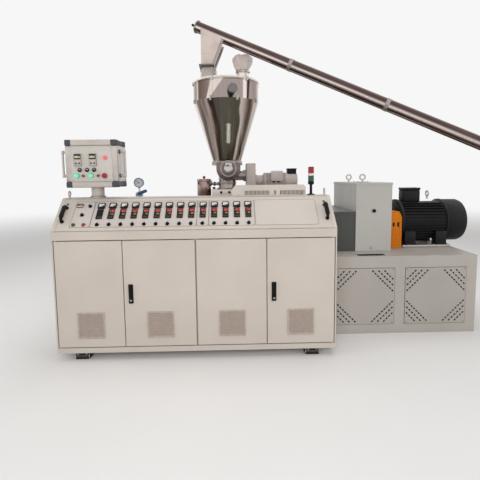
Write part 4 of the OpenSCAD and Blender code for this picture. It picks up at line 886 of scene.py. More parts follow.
def console_handles():
    """Bow handles with a flat grip, and a lock above each whose key slot is painted dark as shade."""
    p = Piece("console_bow_handles", "console")
    half = BOW_LEN / 2
    for x in BOW_X:
        p.at(SLOPE @ shift(x, BOW_T))
        for y in (-half, half):
            p.slab(disc(BOW_R * 1.35, 24, y=y), 0, BOW_R, BLACK, 0.002)
        bow_handle(p, half, BOW_OUT, 0.022, BOW_R, BLACK)
        grip = rect(BOW_R * 2.8, BOW_LEN * 0.84, 0.009)
        p.slab(grip, BOW_OUT - BOW_R * 0.7, BOW_OUT + BOW_R, BLACK, 0.004, 0.004)
        p.at(SLOPE @ shift(x, LOCK_T))
        p.turned(((0.0078, 0), (0.0078, 0.006), (0.0066, 0.008), (0.0040, 0.008), (0.0036, 0.0062)), KEY, 20)
        # Painted shade: a dark strip for the lock's key slot.
        p.slab(rect(0.0012, 0.006), 0.006, 0.0068, DARK)
    p.done("black_plastic", ["console_handles"])


def console_seal():
    """Strips in the cabinet's colour that close the gap round the console's lid."""
    p = Piece("console_seal").at(SLOPE)
    low, high, play = -0.005, -0.0008, 0.0004
    left, right, end = CHEEK, CAB_LEN - CHEEK, math.hypot(SLOPE_RUN, CAB_TOP - BEND_Z)
    for x in (left, right - LID_GAP):
        p.block((x + play, LID_GAP, low), (x + LID_GAP - play, LID_HIGH, high), CABINET)
    p.block((left + play, play, low), (right - play, LID_GAP - play, high), CABINET)
    p.block((left + play, end - LID_GAP, low), (right - play, end - play, high), CABINET)
    p.done("cabinet_paint")


# What stands on the cabinet
def folded_cover(p, outline, slots, deep, sheet, wall, look):
    """A box of folded sheet: a pierced front and the walls round it."""
    p.pierced(outline(), slots, -sheet, 0, look)
    p.lofted(outline, ((0, -deep), (0, -sheet), (wall, -sheet), (wall, -deep)), look, loop=True)


def vent_cover():
    """A low box with three groups of upright slots along its foot, and a dark sheet behind them as painted
    shade.
    """
    p = Piece("vent_cover").at(place(VENT_X, VENT_Y, CAB_TOP) @ FRONT)
    outline = shape((0, 0), (VENT_LEN, 0), (VENT_LEN, VENT_H * 0.8), (VENT_LEN - VENT_H * 0.2, VENT_H),
                    (VENT_SLANT, VENT_H), (0, VENT_H * 0.58))
    sheet, pitch, slot_w, slot_h, slot_y = 0.0015, 0.011, 0.0052, 0.038, 0.026
    slots = []
    for start, end in VENT_GROUPS:
        count = round((end - start) / pitch)
        slots += [rect(slot_w, slot_h, 0.0024, start + pitch * (k + 0.5), slot_y, 3)() for k in range(count)]
    folded_cover(p, outline, slots, VENT_D, sheet, sheet, CABINET)
    p.slab(outline, -VENT_D - 0.0001, -VENT_D + sheet, CABINET)
    # Painted shade: a dark sheet inside the box, seen through the slots.
    p.block((0.01, 0.002, -0.012), (VENT_LEN - 0.01, VENT_H * 0.48, -0.010), DARK)
    pan_screws(p, [(x, 0.006) for x in (0.05, 0.335, VENT_LEN - 0.04)], 0, 0.0035)
    p.done("cabinet_paint", ["vent_box"])


def signal_tower():
    """A foot and pole, two ribbed lenses with a pale spacer between them, and a cap."""
    p = Piece("signal_tower").at(place(TOWER_X, TOP_Y, CAB_TOP))
    r = LAMP_R
    p.turned(((r + 0.010, 0), (r + 0.010, 0.004), (r + 0.007, 0.007), (0.016, 0.008), (0.0125, 0.016),
              (0.011, 0.020), (0.011, 0.084), (0.016, 0.088), (r - 0.002, 0.090), (r, 0.092),
              (r, LAMP_LOW[0])), BLACK, 40)
    pan_screws(p, around(0.028, 3), 0.006, 0.0028)
    ribs = 8
    for low, look in zip(LAMP_LOW, (GREEN_LENS, RED_LENS)):
        rings = []
        for k in range(ribs + 1):
            z = low + LAMP_H * k / ribs
            rings += [(r - 0.0012, z), (r - 0.0004, z + LAMP_H / 32), (r - 0.0004, z + LAMP_H * 3 / 32)]
        p.turned([ring for ring in rings if ring[1] <= low + LAMP_H], look, 40)
    mid, top = (low + LAMP_H for low in LAMP_LOW)
    p.turned(((r, mid), (r, mid + 0.003), (r - 0.001, mid + 0.004), (r - 0.001, mid + 0.016),
              (r, mid + 0.017), (r, mid + 0.020)), PALE_LENS, 40)
    p.turned(((r, top), (r, top + 0.004), (r - 0.003, top + 0.007), (0.010, top + 0.008)), RED_PLASTIC, 40)
    p.done("lamp_lens", ["signal_post", "signal_lamps"])


def operator_case():
    """Upright profiles, side and front sheets, rails above and below, and cast corners."""
    p = Piece("operator_case", "operator_station").at(OP_FACE)
    strip, strip_d, cast, cast_d = 0.046, 0.044, 0.052, 0.062
    low, high = RAIL_H - 0.001, OP_H - RAIL_H + 0.001
    wide, tall, middle = OP_W - 2 * strip, high - low, (OP_W / 2, OP_H / 2)
    for x, z in product((0, OP_W - strip), (0, strip_d - OP_D)):
        p.block((x, low, z - strip_d), (x + strip, high, z), PROFILE, 0.006)
    for x in (0.002, OP_W - 0.010):
        p.block((x, low, 0.04 - OP_D), (x + 0.008, high, -0.04), OP_PANEL)
    p.block((strip - 0.004, low, -0.006), (OP_W - strip + 0.004, high, -0.0015), OP_PANEL)
    p.slab(rect(wide - 0.006, tall - 0.006, 0.003, *middle), -0.002, 0, OP_PANEL, 0.0008)
    p.slab(rect(wide, tall, 0, *middle), -OP_D, -OP_D + 0.004, OP_PANEL)
    for y in (0, OP_H - RAIL_H):
        up = y + RAIL_H
        rail = shape((RAIL_OUT, y + 0.006), (RAIL_OUT, up - 0.006), (0.002, up), (-0.030, up), (-0.030, y),
                     (0.002, y))
        for x, z, turn in ((0, 0, 90), (OP_W, -OP_D, -90)):
            with p.moved(shift(x, 0, z), spin(turn, "Y")):
                p.slab(flipped(rail), 0.05, OP_W - 0.05, PROFILE)
        for left, edge in ((0, 0.004), (OP_W - cast, OP_W - 0.034)):
            for rear, fore in ((-cast_d, RAIL_OUT + 0.001), (-OP_D - RAIL_OUT - 0.001, cast_d - OP_D)):
                p.block((left, y, rear), (left + cast, up, fore), CASTING, 0.008)
            p.block((edge, y + 0.003, 0.05 - OP_D), (edge + 0.030, up - 0.003, -0.05), CASTING, 0.006)
        p.block((0.03, y + 0.004, 0.02 - OP_D), (OP_W - 0.03, up - 0.004, -0.02), CASTING)
    p.done("operator_panel", ["operator_box"])


def operator_meter(p, x, number):
    """A display over a pale lower half with two slotted caps."""
    low, high = 0.172, 0.270
    case = rect(0.058, high - low, 0.004, x, (low + high) / 2)
    p.slab(case, 0, 0.0105, FILTER_FRAME, 0.002)
    p.border(case, 0.0022, 0.0090, 0.0108, SEAM, 0.0004)
    p.slab(rect(0.050, 0.040, 0.003, x, high - 0.024), 0.0105, 0.0125, GLASS, 0.0006)
    p.slab(rect(0.042, 0.017, 0.001, x, high - 0.026), 0.0125, 0.0129, LCD)
    digits(p, number, x + 0.016, high - 0.026, 0.0129, 0.011, DARK)
    p.slab(rect(0.050, 0.044, 0.002, x, low + 0.025), 0.0105, 0.0115, METER_PALE, 0.0005)
    for side in (-1, 1):
        with p.moved(shift(x + side * 0.013, low + 0.022)):
            p.turned(((0.0075, 0.0115), (0.0075, 0.0125), (0.0055, 0.0130), (0.0050, 0.0145)), KEY, 20)
            p.slab(rect(0.0012, 0.008), 0.0143, 0.0150, BLACK)


def operator_instruments():
    """Two meters, three selectors, buttons, lamps and the emergency stop."""
    p = Piece("operator_instruments", "operator_station").at(OP_FACE)
    for x, number in ((0.100, "12"), (0.220, "18")):
        operator_meter(p, x, number)
    selector_y, button_y, cap_r = 0.141, 0.094, 0.0100
    half_turn = [math.pi * (k / 10 - 0.25) for k in range(11)]
    for x in (0.111, 0.169, 0.225):
        selector(p, x, selector_y, 0, 0.0170, 0.022, 40)
        cap = shape(*[(x + cap_r * math.cos(a), selector_y + cap_r * math.sin(a)) for a in half_turn])
        p.slab(cap, 0.0120, 0.0152, DIAL)
    for x, r, look in ((0.087, 0.0155, GREEN_LAMP), (0.139, 0.0100, RED_PLASTIC),
                       (0.200, 0.0155, GREEN_LAMP), (0.257, 0.0100, RED_PLASTIC)):
        push_button(p, x, button_y, 0, r, 0.022, look)
    push_button(p, 0.317, 0.237, 0, 0.0145, 0.020, RED_LAMP)
    with p.moved(shift(0.314, button_y)):
        p.turned(((0.020, 0), (0.020, 0.003), (0.0165, 0.005), (0.013, 0.006), (0.013, 0.019)), CHROME, 28)
        p.turned(((0.012, 0.018), (0.019, 0.020), (0.021, 0.024), (0.021, 0.030), (0.018, 0.034),
                  (0.010, 0.036)), RED_PLASTIC, 32)
    pan_screws(p, product((0.056, OP_W - 0.056), (RAIL_H + 0.010, OP_H - RAIL_H - 0.010)), 0, 0.0030)
    p.done("instrument_plastic", ["operator_controls"])


def operator_grips():
    """A bow handle on each side, held at both ends by a flat foot and a dark cast plate that is painted
    shade.
    """
    p = Piece("operator_grips", "operator_station")
    half, out = GRIP_LEN / 2, GRIP_OUT - GRIP_R
    for x, turn in ((OP_X, LEFT), (OP_X + OP_W, RIGHT)):
        p.at(place(x, OP_Y + GRIP_BACK, OP_Z + OP_H / 2) @ turn)
        bow_handle(p, half, out, 0.014, GRIP_R, PROFILE)
        for end in (-1, 1):
            # Painted shade: a dark plate under each end of the handle.
            p.slab(rect(0.030, 0.032, 0.004, y=end * (half + 0.001)), 0, 0.006, CASTING, 0.0015)
            p.slab(rect(0.022, 0.026, 0.006, y=end * half), out - 0.011, out + 0.0075, PROFILE, 0.003)
    p.done("profile_aluminium", ["operator_handles"])


def operator_post_trim():
    """A bright collar with four screws at the foot of the operator's post."""
    p = Piece("operator_post_trim").at(place(OP_X + OP_W / 2, OP_Y + OP_D / 2, CAB_TOP))
    p.turned(((0.064, 0.0100), (0.062, 0.0125), (0.0525, 0.013), (0.0525, 0.018), (0.0521, 0.018),
              (0.0521, 0.0100)), CHROME, 40, loop=True)
    for x, y in around(0.058, 4, 0.5):
        cap_screw(p, x, y, 0.0125, 0.0034)
    p.done("profile_aluminium")


# Machine base
def corner_slots():
    """Three rows of punched slots across each corner of a side panel."""
    pitch, in_x, in_y = 0.0305, 0.011, 0.019
    slot = rect(0.0220, 0.0125, 0.0055, steps=3)()
    holes = []
    for sx, sy, leg in product((-1, 1), (-1, 1), (0.092, 0.146, 0.200)):
        turn = Matrix.Rotation(math.radians(-45 * sx * sy), 2)
        count = int(leg * math.sqrt(2) / pitch)
        for k in range(count):
            along = (k + 0.5) / count
            middle = Vector((sx * (PANEL_W / 2 - leg * along - in_x),
                             sy * (PANEL_H / 2 - leg * (1 - along) - in_y)))
            holes.append([tuple(turn @ Vector(point) + middle) for point in slot])
    return holes


def base_covers():
    """Punched side panels over a dark sheet that is painted shade behind their slots, with screws in their
    corners, on the front and the back.
    """
    p = Piece("base_covers")
    holes = corner_slots()
    sheet = rect(PANEL_W - 0.006, PANEL_H - 0.006, 0.004, steps=2)()
    for i in range(PANELS):
        x = BASE_X + PANEL_IN + PANEL_W / 2 + i * PANEL_PITCH
        for turn, y in ((FRONT, BASE_FRONT), (BACK, BASE_BACK)):
            p.at(place(x, y, PANEL_Z + PANEL_H / 2) @ turn @ shift(0, 0, -0.003))
            p.pierced(sheet, holes, 0.0012, 0.003, BASE_SHEET)
            # Painted shade: a dark sheet behind the slots.
            p.slab(rect(PANEL_W, PANEL_H), 0.0001, 0.0006, DARK)
            pan_screws(p, corners(PANEL_W / 2 - 0.016, PANEL_H / 2 - 0.016), 0.003, 0.0055)
    p.done("base_paint", ["base_panels"])


def base_top_slot():
    """A well painted dark as shade, with a thin rim, in the base's top."""
    left, front, length, width = TOP_SLOT
    p = Piece("base_top_slot").at(place(left + length / 2, front + width / 2, BASE_H))
    hole = rect(length - 0.001, width - 0.001, 0.012, steps=6)
    well, wall, rim = -0.044, 0.0015, 0.0004
    p.pierced(rect(length + 0.012, width + 0.012, 0.004)(), [hole()], 0.0001, 0.0012, BASE)
    # Painted shade: the well's walls and floor are near black.
    p.lofted(hole, ((0, rim), (0, well), (wall, well), (wall, rim)), DARK, loop=True)
    p.slab(hole, well - 0.002, well + 0.001, DARK)
    p.done("black_plastic")


def cabinet_feet():
    """Machine feet, near black as painted shade: a cap over each foot block, with a groove painted dark as
    shade and two bolts at its front.
    """
    p = Piece("cabinet_feet")
    long, wide = 0.112, 0.092
    for x, y in product(FEET_X, FEET_Y):
        p.at(place(x, y, 0))
        # Painted shade: the caps are near black.
        p.slab(rect(long, wide, 0.006), 0.0002, 0.024, SHADED_FOOT, 0.003, 0.002)
        # Painted shade: a dark band for the groove.
        p.slab(rect(long - 0.0015, wide - 0.0015, 0.005), 0.024, 0.030, DARK)
        p.slab(rect(long, wide, 0.006), 0.030, 0.0595, SHADED_FOOT, 0.002, 0.003)
        for side in (-1, 1):
            p.at(place(x + side * 0.034, y - wide / 2, 0.045) @ FRONT)
            hex_bolt(p, 0, 0, 0, 0.006)
    p.done("black_plastic")


def gearbox_trim():
    """An oil sight, a drain plug, the lid's rim and its bolted plate."""
    front = place(GEAR_X + GEAR_L / 2, MID_Y - GEAR_D / 2, BASE_H) @ FRONT
    p = Piece("gearbox_fittings").at(front @ shift(0, GEAR_TOP - BASE_H - 0.262))
    p.turned(((0.0165, 0), (0.0165, 0.0125), (0.0152, 0.0135), (0.0125, 0.0135), (0.0122, 0.0122)), DARK, 32)
    p.turned(((0.0120, 0.0120), (0.0115, 0.0130), (0.008, 0.0132)), GLASS, 28)
    p.at(front)
    hex_bolt(p, -0.014, 0.034, 0.003, 0.0115, MACHINE)
    p.at(place(GEAR_X, MID_Y - GEAR_D / 2, GEAR_TOP))
    middle, plate = (GEAR_L / 2, GEAR_D / 2), 0.006
    p.border(rect(GEAR_L, GEAR_D, 0.002, *middle), 0.010, -0.0005, 0.0015, MACHINE, 0.0006)
    p.slab(rect(0.120, 0.160, 0.006, *middle), 0, plate, MACHINE, 0.0015)
    with p.moved(shift(*middle)):
        hex_bolts(p, corners(0.048, 0.068), plate, 0.006, MACHINE)
    p.done("machine_paint")


def coupling_cover():
    """A folded guard with two windows, a dark sheet inside as painted shade, pressed ribs, a rim and a bolted
    foot.
    """
    p = Piece("coupling_cover").at(place(GUARD_X, MID_Y - GUARD_D / 2, BASE_H) @ FRONT)
    cut_x, cut_y = GUARD_CUT
    outline = shape((0, 0), (GUARD_L, 0), (GUARD_L, GUARD_H - cut_y), (GUARD_L - cut_x, GUARD_H),
                    (0, GUARD_H))
    windows = [rect(0.020, 0.040, 0.003, 0.040, 0.235, 3)(), rect(0.020, 0.045, 0.004, 0.084, 0.235, 3)()]
    sheet = 0.0018
    folded_cover(p, outline, windows, GUARD_D, sheet, 0.002, GUARD)
    p.slab(outline, -GUARD_D, -GUARD_D + sheet, GUARD)
    # Painted shade: a dark sheet inside the guard, seen through the windows.
    p.slab(rect(GUARD_L - 0.008, GUARD_H * 0.7, x=GUARD_L / 2, y=GUARD_H * 0.4), -0.012, -0.010, DARK)
    for x, high in ((0.022, 0.170), (0.042, 0.170), (0.062, 0.170), (0.082, 0.170), (0.104, 0.250)):
        p.slab(rect(0.009, high, 0.004, x, 0.020 + high / 2), 0, 0.0035, GUARD, 0.002)
    p.border(outline, 0.006, 0, 0.0022, GUARD, 0.0008)
    foot_y, foot_out = 0.010, 0.004
    p.slab(rect(GUARD_L - 0.010, 0.012, 0.003, GUARD_L / 2, foot_y), 0, foot_out, GUARD, 0.001)
    hex_bolts(p, ((0.012, foot_y), (GUARD_L - 0.012, foot_y)), foot_out, 0.006)
    p.done("guard_paint", ["coupling_guard"])


def motor_barrel(p, axis):
    """The motor's flange, frame with fins, end shields and fan cowl."""
    p.at(axis)
    r, body, end, tail = MOTOR_R, MOTOR_R - 0.026, MOTOR_L, MOTOR_L + COWL_L
    p.turned(((0.05, -0.018), (0.130, -0.018), (0.1376, -0.012), (0.1376, 0.004), (body - 0.01, 0.010),
              (r - 0.012, 0.012), (r - 0.003, 0.018), (r - 0.003, 0.040), (body + 0.004, 0.046),
              (body, 0.060), (body, end - 0.050), (body + 0.006, end - 0.040), (r - 0.003, end - 0.032),
              (r - 0.003, end - 0.008), (r - 0.012, end), (r - 0.008, end + 0.006),
              (r - 0.008, tail - 0.045), (r - 0.020, tail - 0.018), (r - 0.050, tail), (0.03, tail)),
             MOTOR, 72)
    fins, clear_above, clear_below = 40, 26, 32
    for k in range(fins):
        angle = 360 * (k + 0.5) / fins
        if abs(angle - 180) < clear_above or min(angle, 360 - angle) < clear_below:
            continue
        p.at(axis @ spin(angle, "Z"))
        p.block((body - 0.004, -0.0028, 0.055), (r - 0.003, 0.0028, end - 0.045), MOTOR, 0.0012)
    p.at(axis @ spin(180, "Y"))
    hex_bolts(p, around(r - 0.022, 8, 0.5), -0.014, 0.009, MOTOR)
    p.at(axis)
    wires, first, wire_gap = 9, 0.045, 0.015
    for k in range(wires):
        wire = [(x, y, tail + 0.0005) for x, y in around(first + k * wire_gap, 48)]
        p.rod(wire, 0.0016, MOTOR, 6, loop=True)


def drive_motor():
    """The main motor on its feet and rails, the far rail dark as painted shade, with its terminal box."""
    p = Piece("drive_motor")
    middle = place(MOTOR_X, MID_Y, MOTOR_Z)
    motor_barrel(p, middle @ spin(90, "Y"))
    p.at(middle)
    foot, foot_l = -0.225, 0.110
    for x, side in product((0.040, MOTOR_L - 0.150), (-1, 1)):
        y = side * 0.178
        p.block((x, y - 0.042, foot), (x + foot_l, y + 0.042, -0.090), MOTOR, 0.006)
        hex_bolt(p, x + foot_l / 2, side * 0.212, foot + 0.0205, 0.012, MOTOR)
        y = side * 0.205
        p.block((x + 0.004, y - 0.030, foot), (x + foot_l - 0.004, y + 0.030, foot + 0.020), MOTOR, 0.004)
    # Painted shade: the far rail takes the motor's black, the near one stays pale.
    for y, look in ((-0.196, PROFILE), (0.196, MOTOR)):
        p.block((0.010, y - 0.046, -0.248), (MOTOR_L - 0.010, y + 0.046, foot + 0.0005), look, 0.002)
    p.block((0.084, -0.060, 0.192), (0.258, 0.060, 0.312), MOTOR, 0.010)
    p.block((0.080, -0.064, 0.312), (0.262, 0.064, 0.338), MOTOR, 0.010)
    for x, y in product((0.092, 0.250), (-0.054, 0.054)):
        cap_screw(p, x, y, 0.3375, 0.0036)
    p.done("motor_paint", ["main_motor"])


# Barrel, gauge and pot
def barrel_trim():
    """Two fields of louvres on each side of the barrel's cover, with a dark strip under each hood as painted
    shade, and bolts along its top.
    """
    p = Piece("barrel_cover_louvres")
    rows, pitch, length = 9, 0.018, 0.18
    for (side, turn), share in product(((-1, FRONT), (1, BACK)), (0.28, 0.72)):
        p.at(place(COVER_X + COVER_L * share, MID_Y + side * COVER_HALF, BARREL_Z - 0.02) @ turn)
        for row in range(rows):
            y = (row - rows // 2) * pitch
            hood = shape((0.0002, y - 0.005), (0.0065, y - 0.005), (0.0052, y + 0.001), (0.0002, y + 0.005))
            with p.moved(shift(-length / 2), spin(90, "Y")):
                p.slab(flipped(hood), 0, length, BASE)
            # Painted shade: a dark strip under each hood.
            p.slab(rect(length - 0.004, 0.0022, y=y - 0.0042), 0.0001, 0.0066, DARK)
    p.at(place(COVER_X, MID_Y, COVER_TOP))
    hex_bolts(p, [(0.05 + k * (COVER_L - 0.1) / 4, y) for k in range(5) for y in (-0.125, 0.125)], 0, 0.007)
    p.done("base_paint")


def vacuum_pot():
    """A pot with a clamped lid and a red knob, and its pipe to the feeder's neck."""
    top, r = POT_TOP - COVER_TOP, POT_R
    middle = place(POT_X, MID_Y, COVER_TOP)
    p = Piece("vacuum_pot").at(middle)
    p.turned(((0.062, 0), (0.062, 0.008), (0.046, 0.010), (0.046, 0.034), (r - 0.004, 0.040), (r, 0.046),
              (r, top - 0.030), (r - 0.002, top - 0.026), (r + 0.001, top - 0.022), (r + 0.001, top - 0.006),
              (r - 0.003, top - 0.002), (0.030, top)), POT_STEEL, 56)
    p.turned(((0.008, top - 0.001), (0.008, top + 0.002), (0.006, top + 0.004)), CHROME, 16)
    knob_r, knob_h, half_turn = 0.0155, 0.0135, [math.pi * k / 10 for k in range(11)]
    knob = [(knob_r * math.sin(a) + 0.0004, top + knob_r - knob_h * math.cos(a)) for a in half_turn]
    p.turned(knob, RED_PLASTIC, 20)
    for k in range(3):
        turn = Matrix.Rotation(math.tau * k / 3 - 0.2, 4, "Z")
        p.at(middle @ turn @ shift(r * 0.985, 0, top - 0.034))
        p.block((0, -0.008, -0.026), (0.009, 0.008, 0.020), CHROME, 0.002)
        p.block((0.006, -0.005, -0.020), (0.014, 0.005, 0.012), BLACK, 0.002)
    p.at(place(POT_X + r - 0.004, MID_Y, PIPE_Z) @ spin(90, "Y"))
    far = HOP_X - NECK_R - POT_X - r + 0.003
    half = far * 0.5
    p.turned(((0.020, 0), (0.020, 0.010), (0.016, 0.013), (PIPE_R, 0.015), (PIPE_R, far - 0.014),
              (0.019, far - 0.012), (0.019, far - 0.003), (PIPE_R, far)), STAINLESS, 28)
    p.turned(((0.0205, half - 0.010), (0.022, half - 0.008), (0.022, half + 0.008), (0.0205, half + 0.010)),
             DARK_STEEL, 28)
    p.done("stainless")


def gauge_face(p, dial):
    """A gauge's case, face, ticks over three quarters of a turn, and its pointer."""
    p.at(dial)
    r = GAUGE_R
    p.turned(((0.020, -0.042), (r - 0.003, -0.040), (r - 0.002, -0.006), (r, -0.004), (r, 0.0),
              (r - 0.003, 0.002), (r - 0.006, 0.0), (r - 0.0065, -0.003)), GAUGE_RIM, 44)
    p.turned(((r - 0.007, -0.006), (r - 0.007, -0.0025)), GAUGE_FACE, 44)
    ticks, start, step = 28, 135, 10
    for k in range(ticks):
        tick = 0.004 if k % 3 else 0.007
        p.at(dial @ spin(start - step * k, "Z"))
        p.slab(rect(0.0009, tick, y=r - 0.011 - tick / 2), -0.0026, -0.0022, BLACK)
    p.at(dial @ spin(48, "Z"))
    pointer = shape((-0.0022, -0.014), (0.0022, -0.014), (0.0008, 0.030), (-0.0008, 0.030))
    p.slab(pointer, -0.0018, -0.0012, BLACK)
    p.turned(((0.0040, -0.0025), (0.0040, -0.0005), (0.0022, 0.0)), BLACK, 16)


def gauge_group():
    """A stem with a ball valve and its blue lever, and a gauge on top."""
    p = Piece("gauge_and_valve").at(place(GAUGE_X, MID_Y, COVER_TOP))
    p.turned(((0.026, 0), (0.026, 0.010), (0.022, 0.014), (0.013, 0.018), (0.013, 0.040), (0.024, 0.046),
              (0.024, 0.078), (0.016, 0.084), (0.011, 0.094), (0.0085, 0.098), (0.0085, 0.122),
              (0.013, 0.124), (0.013, 0.136)), CHROME, 24)
    with p.moved(shift(0, 0, VALVE_Z), spin(90, "Y")):
        p.turned(((0.018, -0.036), (0.022, -0.034), (0.022, -0.020), (0.018, -0.018), (0.018, 0.018),
                  (0.022, 0.020), (0.022, 0.034), (0.018, 0.036)), CHROME, 24)
    p.at(place(GAUGE_X, MID_Y - 0.030, COVER_TOP + VALVE_Z))
    p.turned(((0.010, -0.006), (0.010, 0.016), (0.007, 0.020)), CHROME, 16)
    with p.moved(spin(-20, "Y")):
        p.block((-0.014, -0.011, 0.002), (0.030, 0.011, 0.008), CHROME, 0.002)
        p.block((-0.010, -0.016, -0.008), (0.090, 0.016, 0.024), BLUE, 0.009)
    gauge_face(p, place(GAUGE_X, MID_Y - 0.022, GAUGE_Z) @ FRONT)
    p.done("stainless", ["barrel_fittings"])


# Feeder
def trough_section(grow):
    """A trough's outline: round below, straight sides, open at the hopper's flange."""
    radius, top = TROUGH_R + grow, HOP_LOW - 0.0003 - TROUGH_Z
    angles = [math.pi + math.pi * k / 32 for k in range(33)]
    low = [(radius * math.cos(a), radius * math.sin(a)) for a in angles]
    return shape(*low, (radius, top), (-radius, top))


def feed_block():
    """Painted covers on the barrel's feed block, with their knobs."""
    p = Piece("feed_block_covers").at(place(FEED_BLOCK, MID_Y, FEED_TOP))
    half, deep, well = FEED_HALF + 0.002, FEED_WIDE, 0.108
    p.block((-half, -deep - 0.002, -0.060), (half, 0.004 - deep, 0.006), FEED_WHITE, 0.003)
    for left, right in ((-half, -well), (well, half)):
        p.block((left, -deep, 0), (right, deep, 0.008), FEED_WHITE, 0.003)
    p.block((0.001 - well, -deep, 0), (well - 0.001, -well, 0.005), FEED_WHITE, 0.002)
    for x in (-0.132, 0.132):
        p.at(place(FEED_BLOCK + x, MID_Y - deep + 0.030, FEED_TOP))
        p.turned(((0.006, 0.007), (0.006, 0.014), (0.013, 0.017), (0.015, 0.022), (0.014, 0.028),
                  (0.009, 0.031)), BLACK, 24)
    for x in (-0.060, 0.020):
        p.at(place(FEED_BLOCK + x, MID_Y - deep, FEED_TOP - 0.022) @ FRONT)
        p.turned(((0.007, 0.001), (0.007, 0.008), (0.012, 0.011), (0.012, 0.020), (0.008, 0.023)), BLACK, 24)
    p.done("barrel_steel")


def feeder_port(p):
    """The trough from its back to the round port at its front, in dark steel as painted shade, with its ring,
    a bright block that is a painted reflection, and bolts.
    """
    out = PORT_OUT
    p.at(place(TROUGH_X, MID_Y, TROUGH_Z) @ FRONT)
    # Painted shade: the trough and the port's lip in dark steel.
    p.slab(trough_section(0), -TROUGH_BACK, out - 0.010, DARK_STEEL)
    p.slab(trough_section(PORT_LIP), out - PORT_T, out - 0.006, DARK_STEEL, 0.002, 0.002)
    p.slab(trough_section(0.010), out - 0.007, out, DARK_STEEL, 0.003)
    p.turned(((0.084, out - 0.002), (0.080, out + 0.003), (0.072, out + 0.003), (0.068, out - 0.0005)),
             STAINLESS, 56)
    p.turned(((0.042, out - 0.001), (0.042, out + 0.004), (0.038, out + 0.006), (0.020, out + 0.006)),
             CHROME, 40)
    # Painted reflection: a bright block on the port's cover.
    p.block((-0.030, 0.012, out - 0.001), (0.034, 0.052, out + 0.006), CHROME, 0.003)
    below = around(0.110, 12, 6)[:7]
    hex_bolts(p, below, out - 0.006, 0.006)


def feeder():
    """Trough, screw housing, neck on the feed block and the ring under the hopper."""
    p = Piece("feeder_body")
    feeder_port(p)
    p.at(place(HOP_X, MID_Y, FEEDER_Z) @ spin(90, "Y"))
    length, lip = CASE_X - HOP_X, FEED_R + PORT_LIP
    p.turned(((FEED_R, 0.09), (FEED_R, length - PORT_T), (lip, length - PORT_T + 0.001), (lip, length)),
             STAINLESS, 48)
    for k in range(6):
        p.at(place(CASE_X - PORT_T, MID_Y, FEEDER_Z) @ spin(-90, "Y") @ spin(60 * k + 15, "Z"))
        hex_bolt(p, FEED_R + 0.006, 0, 0, 0.005)
    p.at(place(HOP_X, MID_Y, FEED_TOP))
    r, plate = NECK_R, 0.016
    p.turned(((0.104, 0), (0.104, 0.014), (0.102, plate), (r + 0.002, plate), (r, 0.020), (r, 0.060),
              (r + 0.005, 0.063), (r + 0.005, 0.075), (r, 0.078), (r, TROUGH_Z - FEED_TOP)), STAINLESS, 56)
    hex_bolts(p, around(0.096, 8, 0.5), plate, 0.0055)
    p.at(place(HOP_X, MID_Y, HOP_LOW - COLLAR_T))
    r = HOP_FLANGE_R
    p.turned(((0.100, 0.0), (r - 0.002, 0), (r, 0.002), (r, COLLAR_T - 0.002),
              (r - 0.002, COLLAR_T - 0.0005)), STAINLESS, 72)
    p.done("stainless", ["feeder_housing"])


def feeder_gearmotor():
    """A gear case with its cover, and a finned motor with two boxes."""
    high, sheet = CASE_TOP - CASE_LOW, 0.002
    p = Piece("feeder_gearmotor").at(place(CASE_X, MID_Y - CASE_D / 2, CASE_LOW))
    p.block((0, 0, 0), (CASE_W, CASE_D, high), FEEDER_PAINT, 0.006)
    with p.moved(FRONT):
        cover = rect(CASE_W - 0.014, high - 0.016, 0.005, CASE_W / 2, high / 2)
        p.slab(cover, 0, sheet, FEEDER_PAINT, 0.001)
        pan_screws(p, product((0.012, CASE_W - 0.012), (0.014, high - 0.014)), sheet, 0.004)
    middle = place(CASE_X + CASE_W, MID_Y, FEED_MOTOR_Z)
    r, body, end = FEED_MOTOR_R, FEED_MOTOR_R - 0.009, FEED_MOTOR_L
    p.at(middle @ spin(90, "Y"))
    p.turned(((0.057, -0.001), (0.057, 0.020), (0.050, 0.026), (0.050, 0.074), (r - 0.004, 0.090),
              (r, 0.094), (r, 0.108), (body, 0.112), (body, 0.300), (r - 0.002, 0.306),
              (r - 0.002, end - 0.020), (r - 0.016, end), (0.010, end)), FEEDER_PAINT, 48)
    fins = 28
    for k in range(fins):
        with p.moved(spin(360 * (k + 0.5) / fins, "Z")):
            p.block((body - 0.002, -0.0016, 0.110), (r - 0.0015, 0.0016, 0.302), FEEDER_PAINT, 0.0007)
    p.at(middle)
    p.block((0.156, -r - 0.048, -0.008), (0.270, -r + 0.024, 0.094), FEED_WHITE, 0.006)
    p.block((0.153, -r - 0.052, -0.002), (0.273, -r - 0.044, 0.088), FEEDER_PAINT, 0.004)
    for x in (0.180, 0.230):
        with p.moved(shift(x, -r - 0.020, -0.008), spin(180, "X")):
            p.turned(((0.010, 0), (0.010, 0.012), (0.008, 0.016)), BLACK, 20)
    p.block((0.330, -0.044, 0.040), (0.420, 0.044, 0.108), BLACK, 0.006)
    p.block((0.326, -0.048, 0.106), (0.424, 0.048, 0.116), BLACK, 0.004)
    p.done("machine_paint", ["feeder_drive"])


